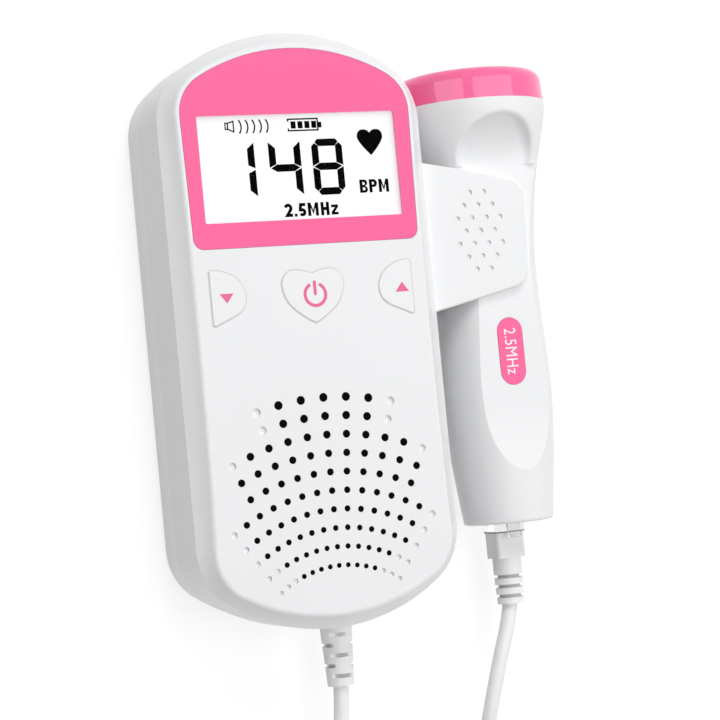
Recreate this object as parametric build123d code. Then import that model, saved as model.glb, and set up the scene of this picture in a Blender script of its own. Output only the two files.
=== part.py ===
from build123d import *
import math
import os

# Pocket heartbeat monitor with a corded probe that clips to its side.
# Millimetres, +Z out of the face, +Y towards the display end.
# The origin is the centre of the flat back of the case.

os.makedirs("parts", exist_ok=True)

# ---------------------------------------------------------------- case
CASE_LENGTH = 135.4
CASE_WIDTH = 63.8
CASE_END_RADIUS = 44.5
CASE_CORNER_RADIUS = 14.8
FACE_HEIGHT = 32.0
RIM_DROP = 4.0
RIM_LAND = 1.0
CREASE_HEIGHT = 14.0
BACK_DRAFT = 5.0
BACK_EDGE_ROUND = 4.5
BEVEL_SIDE = 3.05
BEVEL_END = 3.05
BEVEL_HOLLOW = 0.1
FACE_WAIST = 0.8
FACE_END_RADIUS = 46.0
FACE_CORNER_RADIUS = 11.0
FACE_EDGE_ROUND = 1.2
WALL = 2.0
ROOF = 2.2
FLOOR = 2.2
LIP_DEPTH = 1.4
LIP_THICKNESS = 0.9
SEAT_GAP = 0.1
PART_GAP = 0.2

RIM_HEIGHT = FACE_HEIGHT - RIM_DROP
PARTING_HEIGHT = RIM_HEIGHT - RIM_LAND
ROOF_HEIGHT = FACE_HEIGHT - ROOF

# ------------------------------------------------- case and board screws
CASE_SCREW_X = 22.0
CASE_SCREW_END = 12.7
CASE_BOSS_RADIUS = 2.6
CASE_COLUMN_RADIUS = 3.5
CASE_BOSS_END = 19.0
SCREW_RADIUS = 1.0
SCREW_HEAD_RADIUS = 2.0
SCREW_HEAD_HEIGHT = 1.4
SCREW_CLEARANCE = 0.15
SCREW_PILOT_GAP = 0.04
CASE_SCREW_LENGTH = 12.0
CASE_SCREW_BITE = 7.0
BOARD_SCREW_X = 24.6
BOARD_SCREW_RISES = (-6.5, 18.0)
BOARD_POST_RADIUS = 2.2
BOARD_SCREW_BITE = 4.0

# ------------------------------------------------------ fascia, display
FASCIA_MARGIN = 4.2
FASCIA_LENGTH = 44.7
FASCIA_TOP_WIDTH = 55.9
FASCIA_BOTTOM_WIDTH = 54.5
FASCIA_END_RADIUS = 46.0
FASCIA_TOP_ROUND = 10.0
FASCIA_BOTTOM_ROUND = 2.5
FASCIA_THICKNESS = 0.7
WINDOW_WIDTH = 48.0
WINDOW_HEIGHT = 24.0
WINDOW_RISE = 17.75
WINDOW_ROUND = 0.5
LENS_THICKNESS = 0.6
LENS_BORDER = 1.3
LENS_AIR_GAP = 0.15
GLASS_THICKNESS = 2.0
GLASS_BORDER = 1.0
LCD_FRAME_WALL = 1.0
WINDOW_SEAT_GAP = 0.2

# --------------------------------------------------------------- board
BOARD_TOP = 24.4
BOARD_THICKNESS = 1.6
BOARD_LOW_MARGIN = 11.0
BOARD_END_MARGIN = 7.7
BOARD_EDGE_GAP = 1.6
BOARD_BOTTOM = BOARD_TOP - BOARD_THICKNESS

# ---------------------------------------------------------------- keys
KEY_PROUD = 0.3
KEY_GAP = 0.25
KEY_FLANGE = 0.9
KEY_FLANGE_THICKNESS = 0.8
KEY_FLANGE_GAP = 0.15
KEY_TRAVEL = 0.6
KEY_FREE_PLAY = 0.1
KEY_FOOT = 0.8
KEY_EDGE_ROUND = 0.35
MAT_THICKNESS = 0.8
MAT_DOME_RADIUS = 3.0
KEY_ROW_DROP = 18.8
MAT_HALF_WIDTH = 26.0
MAT_LOW_MARGIN = 2.5
MAT_HIGH_MARGIN = 15.0

# -------------------------------------------------------------- speaker
GRILLE_CENTRE_DROP = 11.1
GRILLE_FIRST_RADIUS = 25.2
GRILLE_PITCH = 4.2
GRILLE_ANGLE = 5.0
GRILLE_HOLES = (9, 11, 13, 13, 13, 11, 11, 9, 5, 5)
GRILLE_DIMPLES = (3, 2, 1, 1, 1, 0, 0, 1, 1, 1)
GRILLE_HOLE_INNER = 1.16
GRILLE_HOLE_OUTER = 2.02
DIMPLE_DEPTH = 0.6
SPEAKER_END_MARGIN = 31.7
SPEAKER_RADIUS = 20.0
SPEAKER_FLANGE = 2.5
SPEAKER_FLANGE_THICKNESS = 1.0
SPEAKER_DEPTH = 6.6
SPEAKER_THROAT = 9.0
SPEAKER_WALL = 0.9
SPEAKER_COIL_OPENING = 5.0
SPEAKER_RING = 1.2
GASKET_THICKNESS = 1.2
MAGNET_RADIUS = 10.0
MAGNET_HEIGHT = 5.0
CONE_THICKNESS = 0.4
SPEAKER_SCREW_OFFSET = 2.6
SPEAKER_CLAMP_RADIUS = 3.6

# -------------------------------------------------------------- battery
CELL_RADIUS = 7.25
CELL_LENGTH = 50.5
CELL_NUB_RADIUS = 2.7
CELL_NUB_HEIGHT = 1.0
CELL_GAP = 0.7
CELL_PLAY = 0.1
CELL_FLOOR_GAP = 0.55
CELL_HEADROOM = 0.75
SPRING_LENGTH = 4.6
BAY_CENTRE_RISE = 26.0
BAY_SIDE_GAP = 0.25
TRAY_WALL = 1.3
TRAY_RIB = 0.6
TRAY_FLANGE_THICKNESS = 1.3
CONTACT_THICKNESS = 0.4
CONTACT_WIDTH = 11.0
CONTACT_HEIGHT = 10.0
SPRING_RADIUS = 3.2
SPRING_WIRE = 0.4
DOOR_HALF_WIDTH = 18.0
DOOR_OVERLAP = 4.0
RAIL_WIDTH = 1.4
DOOR_GAP = 0.15
DOOR_TONGUE = 1.5
DOOR_TONGUE_THICKNESS = 1.1
DOOR_HOOK_WIDTH = 10.0
DOOR_HOOK_REACH = 2.4
DOOR_HOOK_THICKNESS = 0.8
DOOR_GRIP_PITCH = 2.4
DOOR_GRIP_COUNT = 5
DOOR_GRIP_WIDTH = 14.0

# ---------------------------------------------------------------- probe
PROBE_X = 50.3
PROBE_Z = 18.2
PROBE_PROFILE = (
    (10.66, -49.0), (12.15, -35.3), (13.3, -17.4), (12.4, 7.8),
    (13.1, 22.2), (15.3, 36.4), (17.65, 46.3), (18.1, 50.5),
)
PROBE_WALL = 1.8
PROBE_FOOT_ROUND = 0.8
PROBE_END_WALL = 2.0
FACET_HEIGHT = 10.1
FACET_LOW_Y = -22.0
FACET_LOW_RADIUS = 57.0
FACET_HIGH_Y = 35.0
FACET_HIGH_RADIUS = 13.4
FACET_OPEN_Y = 35.3
ARCH_RADIUS = 9.8
ARCH_FLOOR_ROUND = 2.5
ARCH_LIP_ROUND = 1.0
ARCH_CENTRE_Y = 37.0
CAP_LENGTH = 7.6
CAP_TAPER = 0.4
CAP_ROUND = 3.0
CAP_WALL = 2.0
CAP_SPIGOT = 2.6
CAP_SPIGOT_WALL = 1.4
SEAL_WIDTH = 1.0
SEAL_THICKNESS = 0.5
DISC_THICKNESS = 2.4
BACKING_THICKNESS = 7.0
DISC_GAP = 0.4
BADGE_WIDTH = 6.7
BADGE_LENGTH = 16.0
BADGE_CENTRE_Y = -8.7
BADGE_THICKNESS = 0.6
BADGE_PROUD = 0.08
PROBE_BOARD_HALF_WIDTH = 8.0
PROBE_BOARD_THICKNESS = 1.2
PROBE_BOARD_END_Y = 36.0
PROBE_SCREW_Y = (-26.0, 26.0)
PROBE_BOSS_RADIUS = 2.4

PROBE_FOOT_Y = PROBE_PROFILE[0][1]
PROBE_TOP_Y = PROBE_PROFILE[-1][1]
PROBE_TOP_RADIUS = PROBE_PROFILE[-1][0]
SPIGOT_RADIUS = PROBE_PROFILE[-2][0] - PROBE_WALL - SEAT_GAP

# ------------------------------------------------------- plug and jack
PLUG_WIDTH = 7.65
PLUG_DEPTH = 6.6
PLUG_BELOW_AXIS = 3.0
PLUG_INSERTED = 10.0
PLUG_SHOWN = 2.4
JACK_GAP = 0.18
JACK_SIDE_WALL = 1.2
JACK_BACK_WALL = 2.2
LATCH_WIDTH = 3.2
LATCH_THICKNESS = 0.8
LATCH_RISE = 2.7
LATCH_OVERHANG = 1.1
BLADE_PITCH = 1.02
BLADE_COUNT = 4
BLADE_THICKNESS = 0.3
BLADE_DEPTH = 2.0
BLADE_LENGTH = 2.6
BOOT_BLOCK = 6.1
BOOT_NECK_RADIUS = 3.5
BOOT_NECK = 4.0
BOOT_RIB_RADIUS = 3.4
BOOT_RIB_STEP = 0.1
BOOT_CORE_RADIUS = 2.6
BOOT_RIB = 1.5
BOOT_GROOVE = 0.83
BOOT_RIB_COUNT = 3
CORD_DIAMETER = 3.6

PLUG_Z = PROBE_Z - PLUG_BELOW_AXIS
PLUG_NOSE_Y = PROBE_FOOT_Y + PLUG_INSERTED
PLUG_TAIL_Y = PROBE_FOOT_Y - PLUG_SHOWN
BOOT_NECK_Y = PLUG_TAIL_Y - BOOT_BLOCK
BOOT_RIBS_Y = BOOT_NECK_Y - BOOT_NECK
BOOT_END_Y = BOOT_RIBS_Y - BOOT_RIB_COUNT * (BOOT_RIB + BOOT_GROOVE)

# ------------------------------------------------------------ the clip
ARM_ROOT_LOW_Y = 1.7
ARM_ROOT_HIGH_Y = 36.8
ARM_TIP_LOW_Y = 7.0
ARM_TIP_HIGH_Y = 32.0
ARM_TIP_X = 56.9
ARM_TIP_ROUND = 5.0
ARM_SHOULDER_X = 43.5
ARM_SWELL_X = 48.0
ARM_THICKNESS = 1.8
ARM_PROBE_GAP = 0.25
ARM_UNDERSIDE_X = 39.0
SADDLE_GAP = 0.5
SADDLE_LOW_Y = 8.0
SADDLE_HIGH_Y = 31.0
SADDLE_HALF_HEIGHT = 6.0
SADDLE_REACH = 9.0
ARM_DIMPLE_ROWS = (2, 3, 4, 3, 4, 3, 2)
ARM_DIMPLE_PITCH = 3.58
ARM_DIMPLE_ROW_PITCH = 3.0
ARM_DIMPLE_CENTRE = (44.3, 20.0)
ARM_DIMPLE_RADIUS = 0.62
ARM_DIMPLE_DEPTH = 0.5

# ------------------------------------------- cord outlet and the cord
RELIEF_X = 4.2
RELIEF_Z = 16.0
RELIEF_LENGTH = 14.3
RELIEF_ROOT_RADIUS = 3.8
RELIEF_END_RADIUS = 3.1
RELIEF_FLANGE_RADIUS = 5.4
RELIEF_FLANGE = 1.6
RELIEF_SLOTS = 5
RELIEF_SLOT_WIDTH = 0.9
RELIEF_SLOT_DEPTH = 1.3
COIL_CENTRE = (13.0, -142.0)
COIL_ROWS = 5
COIL_LAYERS = 2
COIL_MEAN_RADIUS = 21.0
COIL_TAIL = 15.0
COIL_TAIL_RADIUS = 1.75
CORD_SEATED = 1.5

CASE_END_Y = CASE_LENGTH / 2
CASE_SCREW_Y = CASE_END_Y - CASE_SCREW_END
FASCIA_TOP = CASE_END_Y - FASCIA_MARGIN
FASCIA_BOTTOM = FASCIA_TOP - FASCIA_LENGTH
WINDOW_CENTRE_Y = FASCIA_BOTTOM + WINDOW_RISE
KEY_ROW_Y = FASCIA_BOTTOM - KEY_ROW_DROP
KEY_CENTRES = {
    "power_key": (0.0, KEY_ROW_Y + 7.6),
    "down_key": (-20.6, KEY_ROW_Y + 8.0),
    "up_key": (20.6, KEY_ROW_Y + 8.0),
}
BOARD_BOTTOM_Y = KEY_ROW_Y - BOARD_LOW_MARGIN
BOARD_TOP_Y = CASE_END_Y - BOARD_END_MARGIN
SPEAKER_Y = SPEAKER_END_MARGIN - CASE_END_Y
GRILLE_CENTRE_Y = -CASE_END_Y - GRILLE_CENTRE_DROP
CELL_SPACING = 2 * CELL_RADIUS + CELL_GAP
CELL_HEIGHT = FLOOR + CELL_FLOOR_GAP + CELL_RADIUS
TRAY_ROOF_HEIGHT = CELL_HEIGHT + CELL_RADIUS + CELL_HEADROOM
BAY_LENGTH = CELL_LENGTH + SPRING_LENGTH + 2 * CONTACT_THICKNESS + CELL_PLAY
BAY_START_Y = KEY_ROW_Y + BAY_CENTRE_RISE - BAY_LENGTH / 2
DOOR_BOTTOM_Y = BAY_START_Y - DOOR_OVERLAP
COIL_OUTER = COIL_MEAN_RADIUS + (COIL_ROWS - 1) / 2 * CORD_DIAMETER
COIL_EXIT_Z = (COIL_LAYERS - 0.5) * CORD_DIAMETER
RELIEF_END_Y = -CASE_LENGTH / 2 - RELIEF_LENGTH
LEAD_MAIN_ROUTE = (
    (RELIEF_X, RELIEF_END_Y + CORD_SEATED, RELIEF_Z),
    (4.1, -92.5, 15.4),
    (0.0, -104.5, 12.2),
    (-8.5, -114.5, 7.4),
    (-14.2, -126.0, 3.4),
    (COIL_CENTRE[0] - COIL_OUTER, -138.5, CORD_DIAMETER / 2),
)
LEAD_PROBE_ROUTE = (
    (COIL_CENTRE[0] + COIL_OUTER, COIL_CENTRE[1] + COIL_TAIL, COIL_EXIT_Z),
    (COIL_CENTRE[0] + COIL_OUTER, -118.0, COIL_EXIT_Z),
    (41.3, -106.5, 9.6),
    (42.6, -93.5, 14.0),
    (46.4, -80.0, PLUG_Z),
    (49.3, -72.5, PLUG_Z),
    (PROBE_X, BOOT_END_Y + CORD_SEATED, PLUG_Z),
)


# ------------------------------------------------------------- helpers
def save(name, *shapes):
    """Write one node, as one solid or as a group of separate solids."""
    whole = shapes[0] if len(shapes) == 1 else Compound(children=list(shapes))
    whole.label = name
    export_step(whole, f"parts/{name}.step")


def block(x0, x1, y0, y1, z0, z1):
    """A box between two corners."""
    centre = Pos((x0 + x1) / 2, (y0 + y1) / 2, (z0 + z1) / 2)
    return centre * Box(x1 - x0, y1 - y0, z1 - z0)


def post(x, y, z0, z1, radius):
    """A round post along Z."""
    return Pos(x, y, (z0 + z1) / 2) * Cylinder(radius, z1 - z0)


def barrel(x, z, y0, y1, radius, end_radius=None):
    """A round bar or cone along Y, from y0 to y1."""
    end_radius = radius if end_radius is None else end_radius
    place = Plane((x, (y0 + y1) / 2, z), x_dir=(1, 0, 0), z_dir=(0, 1, 0))
    if abs(end_radius - radius) < 1e-6:
        return place * Cylinder(radius, y1 - y0)
    return place * Cone(radius, end_radius, y1 - y0)


def pill_outline(width, length, end_radius, corner_radius, waist=0.0):
    """Case outline: bowed ends, rounded corners and, with a waist, hollow sides."""
    half_width = width / 2
    half_length = length / 2
    corner_y = half_length - end_radius + math.sqrt(end_radius**2 - half_width**2)
    top = ThreePointArc((-half_width, corner_y), (0, half_length), (half_width, corner_y))
    bottom = ThreePointArc((half_width, -corner_y), (0, -half_length), (-half_width, -corner_y))
    if waist > 0:
        right = ThreePointArc(top @ 1, (half_width - waist, 0), bottom @ 0)
        left = ThreePointArc(bottom @ 1, (waist - half_width, 0), top @ 0)
    else:
        right = Line(top @ 1, bottom @ 0)
        left = Line(bottom @ 1, top @ 0)
    face = make_face([top, right, bottom, left])
    return fillet(face.vertices(), corner_radius)


def case_outline(inset=0.0):
    """The case outline, set in by the same amount all round."""
    return pill_outline(
        CASE_WIDTH - 2 * inset,
        CASE_LENGTH - 2 * inset,
        CASE_END_RADIUS - inset,
        CASE_CORNER_RADIUS - inset,
    )


def face_outline(inset=0.0, share=1.0):
    """Outline of the raised face; share 0 is the rim and share 1 the face."""
    return pill_outline(
        CASE_WIDTH - 2 * (BEVEL_SIDE * share + inset),
        CASE_LENGTH - 2 * (BEVEL_END * share + inset),
        CASE_END_RADIUS + (FACE_END_RADIUS - CASE_END_RADIUS) * share - inset,
        CASE_CORNER_RADIUS + (FACE_CORNER_RADIUS - CASE_CORNER_RADIUS) * share - inset,
        FACE_WAIST * share,
    )


def screw(x, y, head_z, length, up=1):
    """Pan-head screw along Z; the head lies below head_z when it points up."""
    head = post(x, y, head_z - up * SCREW_HEAD_HEIGHT, head_z, SCREW_HEAD_RADIUS)
    shank = post(x, y, head_z, head_z + up * length, SCREW_RADIUS)
    drive = Box(2.2, 0.5, 0.8) + Box(0.5, 2.2, 0.8)
    slot = Pos(x, y, head_z - up * (SCREW_HEAD_HEIGHT - 0.4)) * drive
    return head + shank - slot


def mirrored_x(points):
    """Each (x, y) place and its mirror image across the case's middle."""
    return [(side * x, y) for x, y in points for side in (-1, 1)]


CASE_SCREWS = mirrored_x([(CASE_SCREW_X, CASE_SCREW_Y), (CASE_SCREW_X, -CASE_SCREW_Y)])
BOARD_SCREWS = mirrored_x([(BOARD_SCREW_X, KEY_ROW_Y + rise) for rise in BOARD_SCREW_RISES])
CASE_SCREW_SEAT = CASE_BOSS_END - CASE_SCREW_LENGTH + CASE_SCREW_BITE


# ---------------------------------------------------------- key outlines
def power_outline(grow=0.0):
    """Heart-shaped outline of the power key."""
    shoulder = ThreePointArc((0.0, 12.2), (1.9, 12.85), (4.1, 13.2))
    lobe = ThreePointArc(shoulder @ 1, (6.5, 12.25), (7.5, 9.6))
    flank = TangentArc(lobe @ 1, (4.85, 4.3), tangent=lobe % 1)
    tip = TangentArc(flank @ 1, (0.0, 1.0), tangent=flank % 1)
    right = [shoulder, lobe, flank, tip]
    left = [mirror(edge, about=Plane.YZ) for edge in right]
    face = make_face(right + left)
    face = Pos(0, KEY_ROW_Y) * fillet([v for v in face.vertices() if abs(v.X) < 0.01], 0.8)
    return offset(face, grow) if grow else face


def side_outline(side, grow=0.0):
    """Leaf-shaped outline of the down key (side -1) or the up key (side 1)."""
    top = (24.5, 14.1)
    low = (24.5, 1.4)
    brow = ThreePointArc(top, (21.2, 13.75), (18.2, 12.15))
    nose = TangentArc(brow @ 1, (16.2, 8.6), tangent=brow % 1)
    chin = TangentArc(nose @ 1, (18.9, 3.85), tangent=nose % 1)
    base = TangentArc(chin @ 1, low, tangent=chin % 1)
    face = make_face([brow, nose, chin, base, Line(low, top)])
    face = Pos(0, KEY_ROW_Y) * fillet(face.vertices().sort_by(Axis.X)[-2:], 0.6)
    if side < 0:
        face = mirror(face, about=Plane.YZ)
    return offset(face, grow) if grow else face


def key_outline(name, grow=0.0):
    if name == "power_key":
        return power_outline(grow)
    return side_outline(-1 if name == "down_key" else 1, grow)


KEY_FLANGE_TOP = ROOF_HEIGHT - KEY_FLANGE_GAP
KEY_FLANGE_BOTTOM = KEY_FLANGE_TOP - KEY_FLANGE_THICKNESS
KEY_FOOT_HEIGHT = KEY_FLANGE_BOTTOM - KEY_FOOT
DOME_TOP = KEY_FOOT_HEIGHT - KEY_TRAVEL - KEY_FREE_PLAY


def key(name):
    """Key cap with a retaining flange under the face and a foot over its dome."""
    height = FACE_HEIGHT + KEY_PROUD - KEY_FLANGE_TOP
    cap = extrude(Pos(0, 0, KEY_FLANGE_TOP) * key_outline(name), height)
    cap = fillet(cap.faces().sort_by(Axis.Z)[-1].edges(), KEY_EDGE_ROUND)
    flange = extrude(Pos(0, 0, KEY_FLANGE_BOTTOM) * key_outline(name, KEY_FLANGE), KEY_FLANGE_THICKNESS)
    x, y = KEY_CENTRES[name]
    foot = post(x, y, KEY_FOOT_HEIGHT, KEY_FLANGE_BOTTOM, MAT_DOME_RADIUS - 0.6)
    return cap + flange + foot


def key_mat():
    """Silicone sheet on the board with one dome under each key."""
    sheet = block(-MAT_HALF_WIDTH, MAT_HALF_WIDTH, KEY_ROW_Y - MAT_LOW_MARGIN,
                  KEY_ROW_Y + MAT_HIGH_MARGIN, BOARD_TOP, BOARD_TOP + MAT_THICKNESS)
    for x, y in KEY_CENTRES.values():
        sheet += Pos(x, y, (BOARD_TOP + DOME_TOP) / 2) * Cone(
            MAT_DOME_RADIUS + 1.2, MAT_DOME_RADIUS, DOME_TOP - BOARD_TOP)
    return sheet


# ------------------------------------------------------------- the grille
def grille_places():
    """Every hole (True) and blind dimple (False) of the speaker fan."""
    rows = len(GRILLE_HOLES)
    for row, (holes, extra) in enumerate(zip(GRILLE_HOLES, GRILLE_DIMPLES)):
        radius = GRILLE_FIRST_RADIUS + GRILLE_PITCH * row
        size = GRILLE_HOLE_INNER + (GRILLE_HOLE_OUTER - GRILLE_HOLE_INNER) * row / (rows - 1)
        half = (holes - 1) / 2
        for index in range(-extra, holes + extra):
            angle = math.radians((index - half) * GRILLE_ANGLE)
            x = radius * math.sin(angle)
            y = GRILLE_CENTRE_Y + radius * math.cos(angle)
            yield x, y, size / 2, 0 <= index < holes


def grille_cutters():
    cutters = []
    for x, y, radius, through in grille_places():
        depth = ROOF + 1 if through else DIMPLE_DEPTH
        cutters.append(post(x, y, FACE_HEIGHT - depth, FACE_HEIGHT + 1, radius))
    return cutters


# --------------------------------------------------------------- the clip
ARM_UNDERSIDE = FACET_HEIGHT + ARM_PROBE_GAP
ARM_TOP = ARM_UNDERSIDE + ARM_THICKNESS


def arm(front=1):
    """One clip arm, above (front 1) or below (front -1) the probe's axis."""
    root_x = CASE_WIDTH / 2
    inside_x = root_x - WALL * 0.8
    root_top = RIM_HEIGHT - PROBE_Z
    root_low = PARTING_HEIGHT - PROBE_Z
    shoulder_x = ARM_SWELL_X if front > 0 else ARM_SHOULDER_X
    outline = Polyline(
        (root_x, root_top), (inside_x, root_top), (inside_x, root_low), (root_x, root_low),
        (ARM_UNDERSIDE_X, ARM_UNDERSIDE), (ARM_TIP_X, ARM_UNDERSIDE), (ARM_TIP_X, ARM_TOP),
        (shoulder_x, ARM_TOP))
    if front > 0:
        top = TangentArc((shoulder_x, ARM_TOP), (root_x, root_top), tangent=(-1, 0))
    else:
        top = Line((shoulder_x, ARM_TOP), (root_x, root_top))
    side_view = extrude(Plane.XZ * make_face([outline, top]), 2 * CASE_LENGTH, both=True)
    plan = Polyline(
        (inside_x, ARM_ROOT_LOW_Y), (root_x, ARM_ROOT_LOW_Y), (ARM_TIP_X - 1.1, ARM_TIP_LOW_Y + 0.1),
        (ARM_TIP_X, ARM_TIP_HIGH_Y - 1.2), (root_x, ARM_ROOT_HIGH_Y), (inside_x, ARM_ROOT_HIGH_Y),
        close=True)
    tip = make_face(plan)
    corners = tip.vertices().sort_by(Axis.X)[-2:]
    tip = fillet(corners, ARM_TIP_ROUND)
    tall = extrude(tip, 2 * ARM_TOP)
    piece = side_view & tall
    shoulder = [e for e in piece.edges() if abs(e.center().Z - ARM_TOP) < 0.01
                and e.center().X > shoulder_x + 1]
    piece = fillet(shoulder, 0.5)
    if front < 0:
        piece = mirror(piece, about=Plane.XY)
    return Pos(0, 0, PROBE_Z) * piece


def arm_surface(x):
    """Height of the front arm's top at x: flat past its swell, and an arc down to the rim."""
    reach = ARM_SWELL_X - CASE_WIDTH / 2
    drop = ARM_TOP - (RIM_HEIGHT - PROBE_Z)
    radius = (reach**2 + drop**2) / (2 * drop)
    back = max(0.0, ARM_SWELL_X - x)
    return PROBE_Z + ARM_TOP - radius + math.sqrt(radius**2 - back**2)


def arm_dimples():
    """Small blind dimples on top of the front arm."""
    cutters = []
    middle = (len(ARM_DIMPLE_ROWS) - 1) / 2
    for row, count in enumerate(ARM_DIMPLE_ROWS):
        y = ARM_DIMPLE_CENTRE[1] + (middle - row) * ARM_DIMPLE_ROW_PITCH
        for index in range(count):
            x = ARM_DIMPLE_CENTRE[0] + (index - (count - 1) / 2) * ARM_DIMPLE_PITCH
            top = arm_surface(x)
            cutters.append(post(x, y, top - ARM_DIMPLE_DEPTH, top + 1, ARM_DIMPLE_RADIUS))
    return cutters


def saddle():
    """Cradle behind the probe's waist, joined to the case's side wall."""
    root_x = CASE_WIDTH / 2 - WALL / 2
    body = block(root_x, CASE_WIDTH / 2 + SADDLE_REACH, SADDLE_LOW_Y, SADDLE_HIGH_Y,
                 PROBE_Z - SADDLE_HALF_HEIGHT, PROBE_Z + SADDLE_HALF_HEIGHT)
    return body - probe_place(probe_solid(-SADDLE_GAP))


# ------------------------------------------------------------- the shells
def front_outer():
    land = extrude(Pos(0, 0, PARTING_HEIGHT) * case_outline(), RIM_LAND)
    middle = 0.35 + BEVEL_HOLLOW
    slope = loft([
        Pos(0, 0, RIM_HEIGHT) * face_outline(share=0.0),
        Pos(0, 0, RIM_HEIGHT + 0.35 * RIM_DROP) * face_outline(share=middle),
        Pos(0, 0, FACE_HEIGHT) * face_outline(),
    ])
    slope = fillet(slope.faces().sort_by(Axis.Z)[-1].edges(), FACE_EDGE_ROUND)
    return land + slope


def fascia_outline(shrink=0.0):
    """Outline of the coloured panel around the display."""
    top_half = FASCIA_TOP_WIDTH / 2
    low_half = FASCIA_BOTTOM_WIDTH / 2
    corner_y = FASCIA_TOP - FASCIA_END_RADIUS + math.sqrt(FASCIA_END_RADIUS**2 - top_half**2)
    top = ThreePointArc((-top_half, corner_y), (0, FASCIA_TOP), (top_half, corner_y))
    right = Line(top @ 1, (low_half, FASCIA_BOTTOM))
    bottom = Line(right @ 1, (-low_half, FASCIA_BOTTOM))
    left = Line(bottom @ 1, top @ 0)
    face = make_face([top, right, bottom, left])
    face = fillet(face.vertices().sort_by(Axis.Y)[-2:], FASCIA_TOP_ROUND)
    face = fillet(face.vertices().sort_by(Axis.Y)[:2], FASCIA_BOTTOM_ROUND)
    return offset(face, -shrink) if shrink else face


def window_outline(grow=0.0):
    size = RectangleRounded(WINDOW_WIDTH + 2 * grow, WINDOW_HEIGHT + 2 * grow, WINDOW_ROUND)
    return Pos(0, WINDOW_CENTRE_Y) * size


SHELL_WINDOW = LENS_BORDER + WINDOW_SEAT_GAP
FASCIA_SEAT = FACE_HEIGHT - FASCIA_THICKNESS
LENS_SEAT = FASCIA_SEAT - LENS_THICKNESS
GLASS_BOTTOM = LENS_SEAT - LENS_AIR_GAP - GLASS_THICKNESS
GASKET_FACE = ROOF_HEIGHT - GASKET_THICKNESS
SPEAKER_FACE = GASKET_FACE - SPEAKER_FLANGE_THICKNESS
SPEAKER_SCREW_RADIUS = SPEAKER_RADIUS + SPEAKER_SCREW_OFFSET
SPEAKER_SCREWS = [
    (SPEAKER_SCREW_RADIUS * math.cos(math.radians(angle)),
     SPEAKER_Y + SPEAKER_SCREW_RADIUS * math.sin(math.radians(angle)))
    for angle in (0, 180)
]


def front_shell():
    """Face shell: bevelled rim, grille, key openings, bosses and front clip arm."""
    inside = loft([
        Pos(0, 0, PARTING_HEIGHT) * case_outline(WALL),
        Pos(0, 0, ROOF_HEIGHT) * face_outline(WALL * 0.75),
    ], ruled=True)
    shell = front_outer() - inside
    lip_outer = case_outline(WALL - LIP_THICKNESS + SEAT_GAP)
    lip = extrude(Pos(0, 0, PARTING_HEIGHT - LIP_DEPTH) * lip_outer, LIP_DEPTH + 0.4)
    lip -= extrude(Pos(0, 0, PARTING_HEIGHT - LIP_DEPTH) * case_outline(WALL), LIP_DEPTH + 0.4)
    shell += lip
    shell -= extrude(Pos(0, 0, FASCIA_SEAT) * fascia_outline(), FASCIA_THICKNESS)
    shell -= extrude(Pos(0, 0, ROOF_HEIGHT - 1) * window_outline(SHELL_WINDOW), ROOF + 2)
    for name in KEY_CENTRES:
        shell -= extrude(Pos(0, 0, ROOF_HEIGHT - 1) * key_outline(name, KEY_GAP), ROOF + 2)
    for x, y in CASE_SCREWS:
        shell += post(x, y, CASE_BOSS_END, ROOF_HEIGHT + 0.2, CASE_BOSS_RADIUS)
        shell -= post(x, y, CASE_BOSS_END, ROOF_HEIGHT - 1, SCREW_RADIUS + SCREW_PILOT_GAP)
    for x, y in BOARD_SCREWS:
        shell += post(x, y, BOARD_TOP, ROOF_HEIGHT + 0.2, BOARD_POST_RADIUS)
        shell -= post(x, y, BOARD_TOP, ROOF_HEIGHT - 0.5, SCREW_RADIUS + SCREW_PILOT_GAP)
    inner_ring = SPEAKER_RADIUS + PART_GAP
    ring = post(0, SPEAKER_Y, SPEAKER_FACE, ROOF_HEIGHT + 0.2, inner_ring + SPEAKER_RING)
    ring -= post(0, SPEAKER_Y, SPEAKER_FACE, ROOF_HEIGHT, inner_ring)
    for x, y in SPEAKER_SCREWS:
        ring += post(x, y, SPEAKER_FACE, ROOF_HEIGHT + 0.2, BOARD_POST_RADIUS)
    ring -= post(0, SPEAKER_Y, SPEAKER_FACE, ROOF_HEIGHT, inner_ring)
    shell += ring
    for x, y in SPEAKER_SCREWS:
        shell -= post(x, y, SPEAKER_FACE, ROOF_HEIGHT - 0.2, SCREW_RADIUS + SCREW_PILOT_GAP)
    shell += arm(1)
    shell -= arm_dimples()
    shell -= grille_cutters()
    return shell


def rear_outer():
    taper = CREASE_HEIGHT * math.tan(math.radians(BACK_DRAFT))
    low = loft([case_outline(taper), Pos(0, 0, CREASE_HEIGHT) * case_outline()], ruled=True)
    low = fillet(low.faces().sort_by(Axis.Z)[0].edges(), BACK_EDGE_ROUND)
    return low + extrude(Pos(0, 0, CREASE_HEIGHT) * case_outline(), PARTING_HEIGHT - CREASE_HEIGHT)


def rear_inside():
    taper = (CREASE_HEIGHT - FLOOR) * math.tan(math.radians(BACK_DRAFT))
    low = loft([
        Pos(0, 0, FLOOR) * case_outline(WALL + taper),
        Pos(0, 0, CREASE_HEIGHT) * case_outline(WALL),
    ], ruled=True)
    low = fillet(low.faces().sort_by(Axis.Z)[0].edges(), BACK_EDGE_ROUND - WALL)
    return low + extrude(Pos(0, 0, CREASE_HEIGHT) * case_outline(WALL), PARTING_HEIGHT - CREASE_HEIGHT + 1)


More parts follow.
